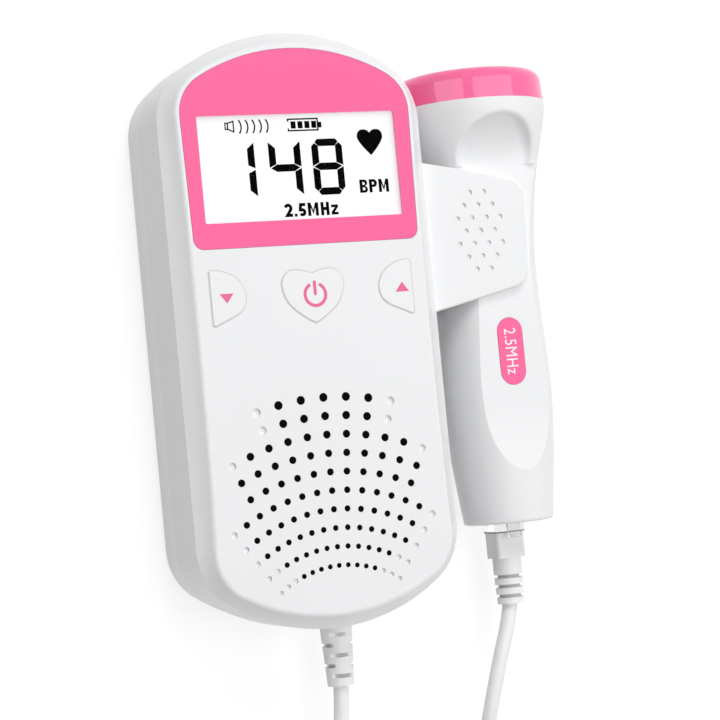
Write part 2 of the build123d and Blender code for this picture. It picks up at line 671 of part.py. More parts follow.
TONGUE_SEAT = FLOOR + DOOR_TONGUE_THICKNESS + DOOR_GAP
TONGUE_X = DOOR_HALF_WIDTH + DOOR_TONGUE
RAIL_X = TONGUE_X + DOOR_GAP
TRAY_HALF_WIDTH = CELL_SPACING / 2 + CELL_RADIUS + BAY_SIDE_GAP
TRAY_START_Y = BAY_START_Y - TRAY_WALL
TRAY_END_Y = BAY_START_Y + BAY_LENGTH + TRAY_WALL
RAIL_END_Y = CASE_SCREW_Y - CASE_COLUMN_RADIUS - PART_GAP
LABEL_HALF_WIDTH = 14.0
LABEL_LENGTH = 20.0
LABEL_HIGH_Y = DOOR_BOTTOM_Y - 16.0
LABEL_LOW_Y = LABEL_HIGH_Y - LABEL_LENGTH
LABEL_THICKNESS = 0.3


def rear_shell():
    """Back shell with the door opening, rails, columns, saddle and rear clip arm."""
    outer = rear_outer()
    inside = rear_inside()
    shell = outer - inside
    rebate = case_outline(WALL - LIP_THICKNESS)
    shell -= extrude(Pos(0, 0, PARTING_HEIGHT - LIP_DEPTH - SEAT_GAP) * rebate, LIP_DEPTH + 1)
    for x, y in CASE_SCREWS:
        column = post(x, y, 0, CASE_BOSS_END - SEAT_GAP, CASE_COLUMN_RADIUS)
        shell += column & outer
        shell -= post(x, y, -1, CASE_SCREW_SEAT, SCREW_HEAD_RADIUS + SCREW_CLEARANCE)
        shell -= post(x, y, CASE_SCREW_SEAT, CASE_BOSS_END, SCREW_RADIUS + SCREW_CLEARANCE)
    for side in (-1, 1):
        near, far = sorted((side * RAIL_X, side * (RAIL_X + RAIL_WIDTH)))
        shell += block(near, far, TRAY_START_Y, RAIL_END_Y, FLOOR - 0.2, TONGUE_SEAT)
    shell += arm(-1)
    shell += saddle()
    door_room = DOOR_HALF_WIDTH + DOOR_GAP
    shell -= block(-door_room, door_room, DOOR_BOTTOM_Y - DOOR_GAP, CASE_LENGTH, -1, CREASE_HEIGHT)
    slit = block(-RAIL_X, RAIL_X, DOOR_BOTTOM_Y, CASE_LENGTH, FLOOR - DOOR_GAP, TONGUE_SEAT)
    shell -= slit
    shell -= block(-DOOR_HOOK_WIDTH / 2 - DOOR_GAP, DOOR_HOOK_WIDTH / 2 + DOOR_GAP,
                   DOOR_BOTTOM_Y - DOOR_HOOK_REACH - DOOR_GAP, DOOR_BOTTOM_Y,
                   FLOOR - DOOR_GAP, FLOOR + 0.1)
    shell -= barrel(RELIEF_X, RELIEF_Z, -CASE_LENGTH / 2 - 2, -CASE_LENGTH / 2 + 8,
                    RELIEF_ROOT_RADIUS + SEAT_GAP)
    shell -= block(-LABEL_HALF_WIDTH, LABEL_HALF_WIDTH, LABEL_LOW_Y, LABEL_HIGH_Y, -1, LABEL_THICKNESS)
    return shell


def battery_door():
    """Sliding door: floor strip and curved end wall, with tongues and a hook."""
    strip = block(-DOOR_HALF_WIDTH, DOOR_HALF_WIDTH, DOOR_BOTTOM_Y, CASE_LENGTH,
                  -1, CREASE_HEIGHT - DOOR_GAP)
    door = (rear_outer() & strip) - rear_inside()
    tongue = block(-TONGUE_X, TONGUE_X, DOOR_BOTTOM_Y + 1, TRAY_END_Y, FLOOR, FLOOR + DOOR_TONGUE_THICKNESS)
    tongue -= block(-DOOR_HALF_WIDTH + 2, DOOR_HALF_WIDTH - 2, DOOR_BOTTOM_Y, CASE_LENGTH, FLOOR, TONGUE_SEAT)
    hook = block(-DOOR_HOOK_WIDTH / 2, DOOR_HOOK_WIDTH / 2, DOOR_BOTTOM_Y - DOOR_HOOK_REACH,
                 DOOR_BOTTOM_Y + 3, FLOOR, FLOOR + DOOR_HOOK_THICKNESS)
    door += tongue + hook
    first = DOOR_BOTTOM_Y + 10
    for index in range(DOOR_GRIP_COUNT):
        y = first + index * DOOR_GRIP_PITCH
        door -= block(-DOOR_GRIP_WIDTH / 2, DOOR_GRIP_WIDTH / 2, y, y + 1, -1, 0.5)
    return door


# ----------------------------------------------------- display and board
def fascia_panel():
    panel = extrude(Pos(0, 0, FASCIA_SEAT) * fascia_outline(SEAT_GAP), FASCIA_THICKNESS)
    return panel - extrude(Pos(0, 0, FASCIA_SEAT) * window_outline(), FASCIA_THICKNESS)


def display_lens():
    return extrude(Pos(0, 0, LENS_SEAT) * window_outline(LENS_BORDER), LENS_THICKNESS)


def lcd_glass():
    return extrude(Pos(0, 0, GLASS_BOTTOM) * window_outline(GLASS_BORDER), GLASS_THICKNESS)


def lcd_frame():
    """Frame on the board that carries the glass over its light panel."""
    outer = window_outline(GLASS_BORDER + LCD_FRAME_WALL)
    frame = extrude(Pos(0, 0, BOARD_TOP) * outer, ROOF_HEIGHT - SEAT_GAP - BOARD_TOP)
    pocket = extrude(Pos(0, 0, BOARD_TOP) * window_outline(GLASS_BORDER + SEAT_GAP), FACE_HEIGHT - BOARD_TOP)
    return frame - pocket


def lcd_backlight():
    return extrude(Pos(0, 0, BOARD_TOP) * window_outline(GLASS_BORDER), GLASS_BOTTOM - BOARD_TOP)


def main_board():
    outline = case_outline(WALL + BOARD_EDGE_GAP)
    board = extrude(Pos(0, 0, BOARD_BOTTOM) * outline, BOARD_THICKNESS)
    board &= block(-CASE_WIDTH, CASE_WIDTH, BOARD_BOTTOM_Y, BOARD_TOP_Y, 0, FACE_HEIGHT)
    for x, y in CASE_SCREWS:
        board -= post(x, y, 0, FACE_HEIGHT, CASE_BOSS_RADIUS + PART_GAP)
    for x, y in BOARD_SCREWS:
        board -= post(x, y, 0, FACE_HEIGHT, SCREW_RADIUS + SCREW_CLEARANCE)
    return board


def board_parts():
    """Chips and capacitors soldered under the board."""
    chips = [(-8.0, 34.0, 11.0, 11.0, 1.4), (12.0, 30.0, 7.0, 5.0, 1.6), (6.0, 46.0, 9.0, 6.0, 1.6),
             (-17.0, 14.0, 5.0, 4.0, 1.8), (15.0, 8.0, 8.0, 4.0, 1.2), (0.0, -6.0, 6.0, 3.0, 2.0)]
    return [Pos(0, KEY_ROW_Y) * block(x - w / 2, x + w / 2, y - d / 2, y + d / 2,
                                      BOARD_BOTTOM - h, BOARD_BOTTOM)
            for x, y, w, d, h in chips]


# --------------------------------------------------------------- speaker
def speaker_frame():
    """Steel basket: a flange, a cone-shaped wall and a floor around the voice coil."""
    flange_low = -SPEAKER_FLANGE_THICKNESS
    flange_inner = SPEAKER_RADIUS - SPEAKER_FLANGE
    floor_top = -SPEAKER_DEPTH + SPEAKER_WALL
    floor_edge = SPEAKER_THROAT + 2 * SPEAKER_WALL
    outline = Polyline(
        (flange_inner, 0), (SPEAKER_RADIUS, 0), (SPEAKER_RADIUS, flange_low),
        (flange_inner + SPEAKER_WALL, flange_low), (floor_edge, -SPEAKER_DEPTH),
        (SPEAKER_COIL_OPENING, -SPEAKER_DEPTH), (SPEAKER_COIL_OPENING, floor_top),
        (floor_edge - SPEAKER_WALL, floor_top), (flange_inner, flange_low), close=True)
    basket = revolve(Plane.XZ * make_face(outline), Axis.Z)
    return Pos(0, SPEAKER_Y, GASKET_FACE) * basket


def speaker_magnet():
    top = GASKET_FACE - SPEAKER_DEPTH
    return post(0, SPEAKER_Y, top - MAGNET_HEIGHT, top, MAGNET_RADIUS)


def speaker_cone():
    """Paper cone with its dust cap and voice coil."""
    rim = SPEAKER_RADIUS - SPEAKER_FLANGE
    low = -SPEAKER_DEPTH + SPEAKER_WALL + 0.5
    outline = Polyline(
        (0, low + 2.2), (4.4, low + 1.4), (rim - 2.2, -0.9), (rim - 0.2, -0.5), (rim - 0.2, -0.9),
        (rim - 2.2, -0.9 - CONE_THICKNESS), (4.8, low + 1.0), (4.8, low), (4.2, low), (4.2, low + 1.0),
        (0, low + 2.2 - CONE_THICKNESS), close=True)
    cone = revolve(Plane.XZ * make_face(outline), Axis.Z)
    return Pos(0, SPEAKER_Y, GASKET_FACE) * cone


def speaker_gasket():
    ring = post(0, SPEAKER_Y, GASKET_FACE, ROOF_HEIGHT, SPEAKER_RADIUS)
    return ring - post(0, SPEAKER_Y, GASKET_FACE, ROOF_HEIGHT, SPEAKER_RADIUS - SPEAKER_FLANGE)


def speaker_screws():
    """Two screws whose wide washers clamp the speaker's flange."""
    screws = []
    for x, y in SPEAKER_SCREWS:
        washer = post(x, y, SPEAKER_FACE - 0.6, SPEAKER_FACE, SPEAKER_CLAMP_RADIUS)
        screws.append(washer + screw(x, y, SPEAKER_FACE - 0.6, BOARD_SCREW_BITE - 1.4))
    return screws


# --------------------------------------------------------------- battery
def battery_tray():
    """Bay for two cells, open towards the door, on two rails of the back shell."""
    outer_x = TRAY_HALF_WIDTH + TRAY_WALL
    tray = block(-outer_x, outer_x, TRAY_START_Y, TRAY_END_Y, TONGUE_SEAT, TRAY_ROOF_HEIGHT + TRAY_WALL)
    bay_end = BAY_START_Y + BAY_LENGTH
    tray -= block(-TRAY_HALF_WIDTH, TRAY_HALF_WIDTH, BAY_START_Y, bay_end, 0, TRAY_ROOF_HEIGHT)
    flange_x = RAIL_X + RAIL_WIDTH
    flange = block(-flange_x, flange_x, TRAY_START_Y, RAIL_END_Y, TONGUE_SEAT,
                   TONGUE_SEAT + TRAY_FLANGE_THICKNESS)
    flange -= block(-outer_x, outer_x, TRAY_START_Y, TRAY_END_Y, 0, TRAY_ROOF_HEIGHT)
    tray += flange
    rib_y = BAY_START_Y + 2 * CONTACT_THICKNESS
    tray += block(-TRAY_RIB / 2, TRAY_RIB / 2, rib_y, bay_end, CELL_HEIGHT + 3, TRAY_ROOF_HEIGHT)
    return tray


def cell(x, plus_up):
    """AA cell along Y; the plus nub points to +Y when plus_up is true."""
    low_y = BAY_START_Y + CONTACT_THICKNESS + CELL_PLAY
    high_y = BAY_START_Y + BAY_LENGTH - CONTACT_THICKNESS - CELL_PLAY
    length = CELL_LENGTH - CELL_NUB_HEIGHT
    if plus_up:
        body = barrel(x, CELL_HEIGHT, high_y - CELL_LENGTH, high_y - CELL_NUB_HEIGHT, CELL_RADIUS)
        nub = barrel(x, CELL_HEIGHT, high_y - CELL_NUB_HEIGHT, high_y, CELL_NUB_RADIUS)
    else:
        body = barrel(x, CELL_HEIGHT, low_y + CELL_NUB_HEIGHT, low_y + CELL_NUB_HEIGHT + length, CELL_RADIUS)
        nub = barrel(x, CELL_HEIGHT, low_y, low_y + CELL_NUB_HEIGHT, CELL_NUB_RADIUS)
    return fillet(body.edges().filter_by(GeomType.CIRCLE), 0.5) + nub


def spring(x, y0):
    """Contact spring along Y, between y0 and the cell's flat end."""
    free = SPRING_LENGTH - 2 * SPRING_WIRE - 0.2
    path = Helix(pitch=free / 3, height=free, radius=SPRING_RADIUS)
    wire = sweep(Plane(path @ 0, z_dir=path % 0) * Circle(SPRING_WIRE), path=path)
    place = Plane((x, y0 + SPRING_WIRE + 0.05, CELL_HEIGHT), x_dir=(1, 0, 0), z_dir=(0, 1, 0))
    return place * wire


def contact_plate(x0, x1, y0):
    return block(x0, x1, y0, y0 + CONTACT_THICKNESS, CELL_HEIGHT - CONTACT_HEIGHT / 2,
                 CELL_HEIGHT + CONTACT_HEIGHT / 2)


def contacts():
    half = CELL_SPACING / 2
    far_y = BAY_START_Y + BAY_LENGTH - CONTACT_THICKNESS
    save("contact_bridge", contact_plate(-half - CONTACT_WIDTH / 2, half + CONTACT_WIDTH / 2, BAY_START_Y))
    save("contact_plus", contact_plate(-half - CONTACT_WIDTH / 2, -half + CONTACT_WIDTH / 2, far_y))
    save("contact_minus", contact_plate(half - CONTACT_WIDTH / 2, half + CONTACT_WIDTH / 2, far_y))
    low = spring(-half, BAY_START_Y + CONTACT_THICKNESS)
    high = spring(half, far_y - SPRING_LENGTH + 0.1)
    save("contact_springs", low, high)


# ----------------------------------------------------------------- probe
def probe_place(shape):
    return Pos(PROBE_X, 0, PROBE_Z) * shape


def probe_solid(shrink=0.0, foot=0.0):
    """The probe's turned body about Y, thinned by shrink and raised by foot."""
    outline = Spline(*[(radius - shrink, y) for radius, y in PROBE_PROFILE],
                     tangents=((0.3, 2.6), (0.0, 1.0)))
    low = Line((0, PROBE_FOOT_Y), outline @ 0)
    high = Line(outline @ 1, (0, PROBE_TOP_Y))
    axis = Line(high @ 1, (0, PROBE_FOOT_Y))
    body = revolve(make_face([low, outline, high, axis]), Axis.Y)
    if foot > 0:
        body -= block(-50, 50, PROBE_FOOT_Y - 1, PROBE_FOOT_Y + foot, -50, 50)
    return body


def facet_cut(depth=0.0, arched=True):
    """Room above the flat facet on the +Z side, sunk further by depth."""
    floor = FACET_HEIGHT - depth
    low_arc = JernArc((FACET_LOW_Y, floor), (-1, 0), FACET_LOW_RADIUS, -28)
    high_arc = JernArc((FACET_HIGH_Y, floor), (1, 0), FACET_HIGH_RADIUS, 90)
    top = PROBE_TOP_RADIUS + 12
    edges = [
        low_arc,
        Line((FACET_LOW_Y, floor), (FACET_HIGH_Y, floor)),
        high_arc,
        Line(high_arc @ 1, (FACET_HIGH_Y + FACET_HIGH_RADIUS, top)),
        Line((FACET_HIGH_Y + FACET_HIGH_RADIUS, top), ((low_arc @ 1).X, top)),
        Line(((low_arc @ 1).X, top), low_arc @ 1),
    ]
    half = 2 * PROBE_TOP_RADIUS
    cut = extrude(Plane.YZ * make_face(edges), half, both=True)
    if not arched:
        return cut
    plan = Pos(0, FACET_OPEN_Y - CASE_LENGTH / 2) * Rectangle(2 * half, CASE_LENGTH)
    plan += Pos(0, ARCH_CENTRE_Y) * Circle(ARCH_RADIUS)
    plan += Pos(0, ARCH_CENTRE_Y - 2) * Rectangle(2 * ARCH_RADIUS, 4)
    cut = cut & extrude(plan, 2 * half)
    foot = [e for e in cut.edges()
            if abs((e @ 0.5).X) < ARCH_RADIUS + 0.01 and (e @ 0.5).Y > FACET_OPEN_Y
            and (e @ 0.5).Z < FACET_HEIGHT + FACET_HIGH_RADIUS - 4
            and abs((e @ 0).X - (e @ 1).X) + abs((e @ 0).Y - (e @ 1).Y) > 0.01]
    return fillet(foot, ARCH_FLOOR_ROUND)


def probe_outer():
    body = probe_solid()
    foot = body.faces().sort_by(Axis.Y)[0].edges()
    body = fillet(foot, PROBE_FOOT_ROUND)
    skin = body.shells()[0]
    cut = facet_cut()
    body = body - cut - mirror(cut, about=Plane.XY)
    lip = [e for e in body.edges()
           if FACET_OPEN_Y + 0.2 < (e @ 0.5).Y < ARCH_CENTRE_Y + ARCH_RADIUS + 0.1
           and abs((e @ 0.5).X) < ARCH_RADIUS and abs((e @ 0.5).Z) > FACET_HEIGHT + 0.3
           and skin.distance_to(e @ 0.5) < 0.01]
    return fillet(lip, ARCH_LIP_ROUND)


def probe_inner():
    hollow = probe_solid(PROBE_WALL, PROBE_END_WALL)
    cut = facet_cut(PROBE_WALL, arched=False)
    return hollow - cut - mirror(cut, about=Plane.XY)


def plug_room():
    """Opening for the plug and its latch through the probe's foot."""
    half_width = PLUG_WIDTH / 2 + JACK_GAP
    half_depth = PLUG_DEPTH / 2 + JACK_GAP
    room = block(-half_width, half_width, PROBE_FOOT_Y - 3, PLUG_NOSE_Y + JACK_GAP,
                 -PLUG_BELOW_AXIS - half_depth, -PLUG_BELOW_AXIS + half_depth)
    latch_top = -PLUG_BELOW_AXIS + half_depth + LATCH_RISE
    room += block(-LATCH_WIDTH / 2 - JACK_GAP, LATCH_WIDTH / 2 + JACK_GAP, PROBE_FOOT_Y - 3,
                  PLUG_NOSE_Y + JACK_GAP, -PLUG_BELOW_AXIS, latch_top)
    return room


def badge_outline(shrink=0.0):
    width = BADGE_WIDTH - 2 * shrink
    return Pos(0, BADGE_CENTRE_Y) * Rot(0, 0, 90) * SlotOverall(BADGE_LENGTH - 2 * shrink, width)


def seal_ring(grow=0.0):
    outer = PROBE_TOP_RADIUS - PROBE_WALL + SEAL_WIDTH
    ring = barrel(0, 0, PROBE_TOP_Y - SEAL_THICKNESS - grow, PROBE_TOP_Y, outer + grow)
    return ring - barrel(0, 0, PROBE_TOP_Y - SEAL_THICKNESS - grow, PROBE_TOP_Y,
                         PROBE_TOP_RADIUS - PROBE_WALL)


def probe_half(front):
    """One half of the probe's body, split at the middle plane."""
    shell = probe_outer() - probe_inner()
    board_half = PROBE_BOARD_THICKNESS / 2
    inner = FACET_HEIGHT - PROBE_WALL / 2
    for y in PROBE_SCREW_Y:
        shell += post(0, y, board_half, inner, PROBE_BOSS_RADIUS)
        shell += post(0, y, -inner, -board_half, PROBE_BOSS_RADIUS)
        shell -= post(0, y, -1, FACET_HEIGHT - PROBE_WALL - 0.6, SCREW_RADIUS + SCREW_PILOT_GAP)
        shell -= post(0, y, -inner, 0, SCREW_RADIUS + SCREW_CLEARANCE)
        shell -= post(0, y, -FACET_HEIGHT - 1, PROBE_SCREW_SEAT, SCREW_HEAD_RADIUS + SCREW_CLEARANCE)
    shell -= plug_room()
    shell -= seal_ring(0.05)
    if front:
        shell -= extrude(Pos(0, 0, FACET_HEIGHT + BADGE_PROUD - BADGE_THICKNESS) * badge_outline(), 3)
        keep = block(-50, 50, -80, 80, 0, 50)
    else:
        keep = block(-50, 50, -80, 80, -50, 0)
    return probe_place(shell & keep)


PROBE_SCREW_SEAT = -FACET_HEIGHT + PROBE_WALL + SCREW_HEAD_HEIGHT
PROBE_SCREW_LENGTH = FACET_HEIGHT - PROBE_WALL - 1.4 - PROBE_SCREW_SEAT


def probe_cap():
    """Coloured acoustic cap, hollow behind its face, with a spigot into the body."""
    radius = PROBE_TOP_RADIUS
    end_y = PROBE_TOP_Y + CAP_LENGTH
    outline = Polyline((0, PROBE_TOP_Y), (radius, PROBE_TOP_Y), (radius - CAP_TAPER, end_y),
                       (0, end_y), close=True)
    cap = revolve(make_face(outline), Axis.Y)
    cap = fillet(cap.edges().sort_by(Axis.Y)[-1], CAP_ROUND)
    cap += barrel(0, 0, PROBE_TOP_Y - CAP_SPIGOT, PROBE_TOP_Y, SPIGOT_RADIUS)
    cap -= barrel(0, 0, PROBE_TOP_Y - CAP_SPIGOT, end_y - CAP_WALL, SPIGOT_RADIUS - CAP_SPIGOT_WALL)
    return probe_place(cap)


DISC_RADIUS = SPIGOT_RADIUS - CAP_SPIGOT_WALL - DISC_GAP
DISC_TOP_Y = PROBE_TOP_Y + CAP_LENGTH - CAP_WALL


def transducer():
    disc = barrel(0, 0, DISC_TOP_Y - DISC_THICKNESS, DISC_TOP_Y, DISC_RADIUS)
    backing_top = DISC_TOP_Y - DISC_THICKNESS
    backing = barrel(0, 0, backing_top - BACKING_THICKNESS, backing_top, DISC_RADIUS)
    save("transducer_disc", probe_place(disc))
    save("transducer_backing", probe_place(backing))


def probe_badge():
    bottom = FACET_HEIGHT + BADGE_PROUD - BADGE_THICKNESS
    return probe_place(extrude(Pos(0, 0, bottom) * badge_outline(SEAT_GAP), BADGE_THICKNESS))


JACK_FRONT_Y = PROBE_FOOT_Y + PROBE_END_WALL
JACK_BACK_Y = PLUG_NOSE_Y + JACK_GAP + JACK_BACK_WALL


def probe_board():
    half = PROBE_BOARD_HALF_WIDTH
    board = block(-half, half, JACK_BACK_Y, PROBE_BOARD_END_Y, -PROBE_BOARD_THICKNESS / 2,
                  PROBE_BOARD_THICKNESS / 2)
    for y in PROBE_SCREW_Y:
        board -= post(0, y, -2, 2, SCREW_RADIUS + SCREW_CLEARANCE)
    return probe_place(board)


def probe_jack():
    """Socket for the plug, behind the probe's foot."""
    half_width = PLUG_WIDTH / 2 + JACK_SIDE_WALL
    low = -PLUG_BELOW_AXIS - PLUG_DEPTH / 2 - 0.9
    high = -PLUG_BELOW_AXIS + PLUG_DEPTH / 2 + LATCH_RISE + 1.2
    housing = block(-half_width, half_width, JACK_FRONT_Y, JACK_BACK_Y, low, high)
    housing -= plug_room()
    for pin in jack_pins(0.05):
        housing -= pin
    return probe_place(housing)


def blade_places():
    return [(index - (BLADE_COUNT - 1) / 2) * BLADE_PITCH for index in range(BLADE_COUNT)]


def jack_pins(grow=0.0):
    half = 0.2 + grow
    return [block(x - half, x + half, PLUG_NOSE_Y + JACK_GAP, JACK_BACK_Y + 1.5,
                  -PLUG_BELOW_AXIS - 0.4 - half, -PLUG_BELOW_AXIS - 0.4 + half)
            for x in blade_places()]


def plug_blades(grow=0.0):
    low = -PLUG_BELOW_AXIS - PLUG_DEPTH / 2
    half = BLADE_THICKNESS / 2 + grow
    return [block(x - half, x + half, PLUG_NOSE_Y - 0.4 - BLADE_LENGTH - grow, PLUG_NOSE_Y - 0.4 + grow,
                  low, low + BLADE_DEPTH + grow)
            for x in blade_places()]


def plug_body():
    """Clear modular plug with its springy latch."""
    half_width = PLUG_WIDTH / 2
    low = -PLUG_BELOW_AXIS - PLUG_DEPTH / 2
    high = -PLUG_BELOW_AXIS + PLUG_DEPTH / 2
    body = block(-half_width, half_width, PLUG_TAIL_Y, PLUG_NOSE_Y, low, high)
    tail = PLUG_TAIL_Y - LATCH_OVERHANG
    outline = Polyline(
        (PLUG_NOSE_Y - 0.4, high - 0.4), (PLUG_NOSE_Y - 0.4, high + 0.3), (tail, high + LATCH_RISE),
        (tail, high + LATCH_RISE - LATCH_THICKNESS), (PLUG_NOSE_Y - 4.2, high + 0.1),
        (PLUG_NOSE_Y - 4.2, high - 0.4), close=True)
    body += extrude(Plane.YZ * make_face(outline), LATCH_WIDTH / 2, both=True)
    for blade in plug_blades(0.04):
        body -= blade
    return probe_place(body)


def plug_boot():
    """Grey boot: square block, round neck and ribs down to the cord."""
    half_width = PLUG_WIDTH / 2
    half_depth = PLUG_DEPTH / 2
    boot = block(-half_width, half_width, BOOT_NECK_Y, PLUG_TAIL_Y, -PLUG_BELOW_AXIS - half_depth,
                 -PLUG_BELOW_AXIS + half_depth)
    boot = fillet(boot.edges().filter_by(Axis.Y), 1.0)
    z = -PLUG_BELOW_AXIS
    boot += barrel(0, z, BOOT_RIBS_Y, BOOT_NECK_Y, BOOT_NECK_RADIUS)
    boot += barrel(0, z, BOOT_END_Y, BOOT_RIBS_Y, BOOT_CORE_RADIUS)
    for index in range(BOOT_RIB_COUNT):
        top = BOOT_RIBS_Y - BOOT_GROOVE - index * (BOOT_RIB + BOOT_GROOVE)
        boot += barrel(0, z, top - BOOT_RIB, top, BOOT_RIB_RADIUS - index * BOOT_RIB_STEP)
    return probe_place(boot)


# ------------------------------------------------------------------ cord
def main_relief():
    """Flexible strain relief with slots turned by a quarter from one to the next."""
    wall_y = -CASE_LENGTH / 2
    reach = RELIEF_X + RELIEF_FLANGE_RADIUS
    wall_radius = CASE_END_RADIUS - WALL
    bow = wall_radius - math.sqrt(wall_radius**2 - reach**2)
    draft = (CREASE_HEIGHT - RELIEF_Z + RELIEF_FLANGE_RADIUS) * math.tan(math.radians(BACK_DRAFT))
    inner_y = wall_y + WALL + bow + draft + SEAT_GAP
    relief = barrel(RELIEF_X, RELIEF_Z, RELIEF_END_Y, wall_y, RELIEF_END_RADIUS, RELIEF_ROOT_RADIUS)
    relief += barrel(RELIEF_X, RELIEF_Z, wall_y, inner_y, RELIEF_ROOT_RADIUS)
    relief += barrel(RELIEF_X, RELIEF_Z, inner_y, inner_y + RELIEF_FLANGE, RELIEF_FLANGE_RADIUS)
    step = RELIEF_LENGTH / (RELIEF_SLOTS + 1)
    for index in range(RELIEF_SLOTS):
        y = wall_y - step * (index + 1)
        radius = RELIEF_ROOT_RADIUS - (RELIEF_ROOT_RADIUS - RELIEF_END_RADIUS) * (index + 1) / RELIEF_SLOTS
        reach = radius - RELIEF_SLOT_DEPTH
        slot = block(-5, 5, y - RELIEF_SLOT_WIDTH / 2, y + RELIEF_SLOT_WIDTH / 2, reach, 6)
        turn = 0 if index % 2 == 0 else 90
        for angle in (turn, turn + 180):
            relief -= Pos(RELIEF_X, 0, RELIEF_Z) * Rot(0, angle, 0) * slot
    return relief


def tube(name, route):
    """A cord along straight runs joined by arcs as large as the runs allow."""
    points = [Vector(*point) for point in route]
    radii = []
    for before, here, after in zip(points, points[1:], points[2:]):
        turn = (here - before).get_angle(after - here)
        shorter = min((here - before).length, (after - here).length)
        radii.append(0.45 * shorter / math.tan(math.radians(turn / 2)))
    path = FilletPolyline(*points, radius=radii)
    start = Plane(path @ 0, z_dir=path % 0)
    cord = sweep(start * Circle(CORD_DIAMETER / 2), path=path)
    section = math.pi * CORD_DIAMETER**2 / 4
    print(name, "radii", [round(radius, 1) for radius in radii], "length", round(path.length, 1),
          "volume", round(cord.volume, 1), "of", round(section * path.length, 1))
    return cord


def lead_coil():
    """Outer shape of the put-away turns, with the tail that runs on to the probe."""
    x, y = COIL_CENTRE
    half_band = COIL_ROWS * CORD_DIAMETER / 2
    height = COIL_LAYERS * CORD_DIAMETER
    coil = post(x, y, 0, height, COIL_MEAN_RADIUS + half_band)
    coil -= post(x, y, 0, height, COIL_MEAN_RADIUS - half_band)
    coil += barrel(x + COIL_OUTER, COIL_EXIT_Z, y, y + COIL_TAIL, COIL_TAIL_RADIUS)
    return coil


# ----------------------------------------------------------------- nodes
save("front_shell", front_shell())
save("rear_shell", rear_shell())
save("battery_door", battery_door())
save("rating_plate", block(-LABEL_HALF_WIDTH + SEAT_GAP, LABEL_HALF_WIDTH - SEAT_GAP,
                           LABEL_LOW_Y + SEAT_GAP, LABEL_HIGH_Y - SEAT_GAP, 0, LABEL_THICKNESS))
save("fascia_panel", fascia_panel())
save("display_lens", display_lens())
save("lcd_glass", lcd_glass())
save("lcd_frame", lcd_frame())
save("lcd_backlight", lcd_backlight())
for key_name in KEY_CENTRES:
    save(key_name, key(key_name))
save("key_mat", key_mat())
save("main_board", main_board())
save("board_parts", *board_parts())
save("speaker_frame", speaker_frame())
save("speaker_magnet", speaker_magnet())
save("speaker_cone", speaker_cone())
save("speaker_gasket", speaker_gasket())
save("speaker_screws", *speaker_screws())
save("battery_tray", battery_tray())
save("cell_left", cell(-CELL_SPACING / 2, True))
save("cell_right", cell(CELL_SPACING / 2, False))
contacts()
save("case_screws", *[screw(x, y, CASE_SCREW_SEAT, CASE_SCREW_LENGTH) for x, y in CASE_SCREWS])
save("board_screws", *[screw(x, y, BOARD_BOTTOM, BOARD_THICKNESS + BOARD_SCREW_BITE)
                       for x, y in BOARD_SCREWS])
save("main_relief", main_relief())
save("lead_main", tube("lead_main", LEAD_MAIN_ROUTE))
save("lead_coil", lead_coil())
save("lead_probe", tube("lead_probe", LEAD_PROBE_ROUTE))
save("plug_boot", plug_boot())
save("plug_body", plug_body())
save("plug_contacts", *[probe_place(blade) for blade in plug_blades()])
save("probe_front_shell", probe_half(True))
save("probe_rear_shell", probe_half(False))
save("probe_cap", probe_cap())
save("probe_badge", probe_badge())
transducer()
save("cap_seal", probe_place(seal_ring()))
save("probe_board", probe_board())
save("probe_jack", probe_jack())
save("jack_contacts", *[probe_place(pin) for pin in jack_pins()])
save("probe_screws", *[probe_place(screw(0, y, PROBE_SCREW_SEAT, PROBE_SCREW_LENGTH))
                       for y in PROBE_SCREW_Y])
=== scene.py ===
"""Dresses the fetal doppler monitor: finishes, display marks, printed marks, lead and stage."""
import math

import bmesh
import bpy
from bpy.props import FloatProperty, FloatVectorProperty, IntProperty, PointerProperty
from mathutils import Matrix, Vector


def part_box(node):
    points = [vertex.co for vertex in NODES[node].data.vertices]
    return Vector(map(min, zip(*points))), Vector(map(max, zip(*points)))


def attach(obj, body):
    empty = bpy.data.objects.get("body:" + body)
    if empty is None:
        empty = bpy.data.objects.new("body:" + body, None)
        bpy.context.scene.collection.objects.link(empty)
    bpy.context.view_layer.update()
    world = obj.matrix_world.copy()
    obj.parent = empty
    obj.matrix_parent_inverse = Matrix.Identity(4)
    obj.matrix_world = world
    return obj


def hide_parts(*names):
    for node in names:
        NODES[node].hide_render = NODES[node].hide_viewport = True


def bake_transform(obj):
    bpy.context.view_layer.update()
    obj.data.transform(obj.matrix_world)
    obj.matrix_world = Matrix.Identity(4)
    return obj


bl_info = {
    "name": "Fetal doppler monitor",
    "version": (1, 0, 0),
    "blender": (4, 5, 0),
    "location": "3D Viewport > Sidebar > Fetal doppler",
    "description": "Finishes, marks, lead and stage of a fetal doppler monitor",
    "category": "Object",
}

# Sizes of the object are written in millimetres and become metres by MM.
# Places and sizes on the stage are in metres.
MM = 0.001
NOISE_RANGE = (0.3, 0.7)

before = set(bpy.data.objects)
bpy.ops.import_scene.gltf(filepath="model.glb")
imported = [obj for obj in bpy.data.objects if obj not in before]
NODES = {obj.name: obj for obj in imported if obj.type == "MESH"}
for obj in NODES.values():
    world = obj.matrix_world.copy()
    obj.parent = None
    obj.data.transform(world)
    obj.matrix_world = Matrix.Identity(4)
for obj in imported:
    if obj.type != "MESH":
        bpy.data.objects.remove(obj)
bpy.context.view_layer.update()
GLASS_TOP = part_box("lcd_glass")[1].z
KEY_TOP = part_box("power_key")[1].z
BADGE_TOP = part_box("probe_badge")[1].z


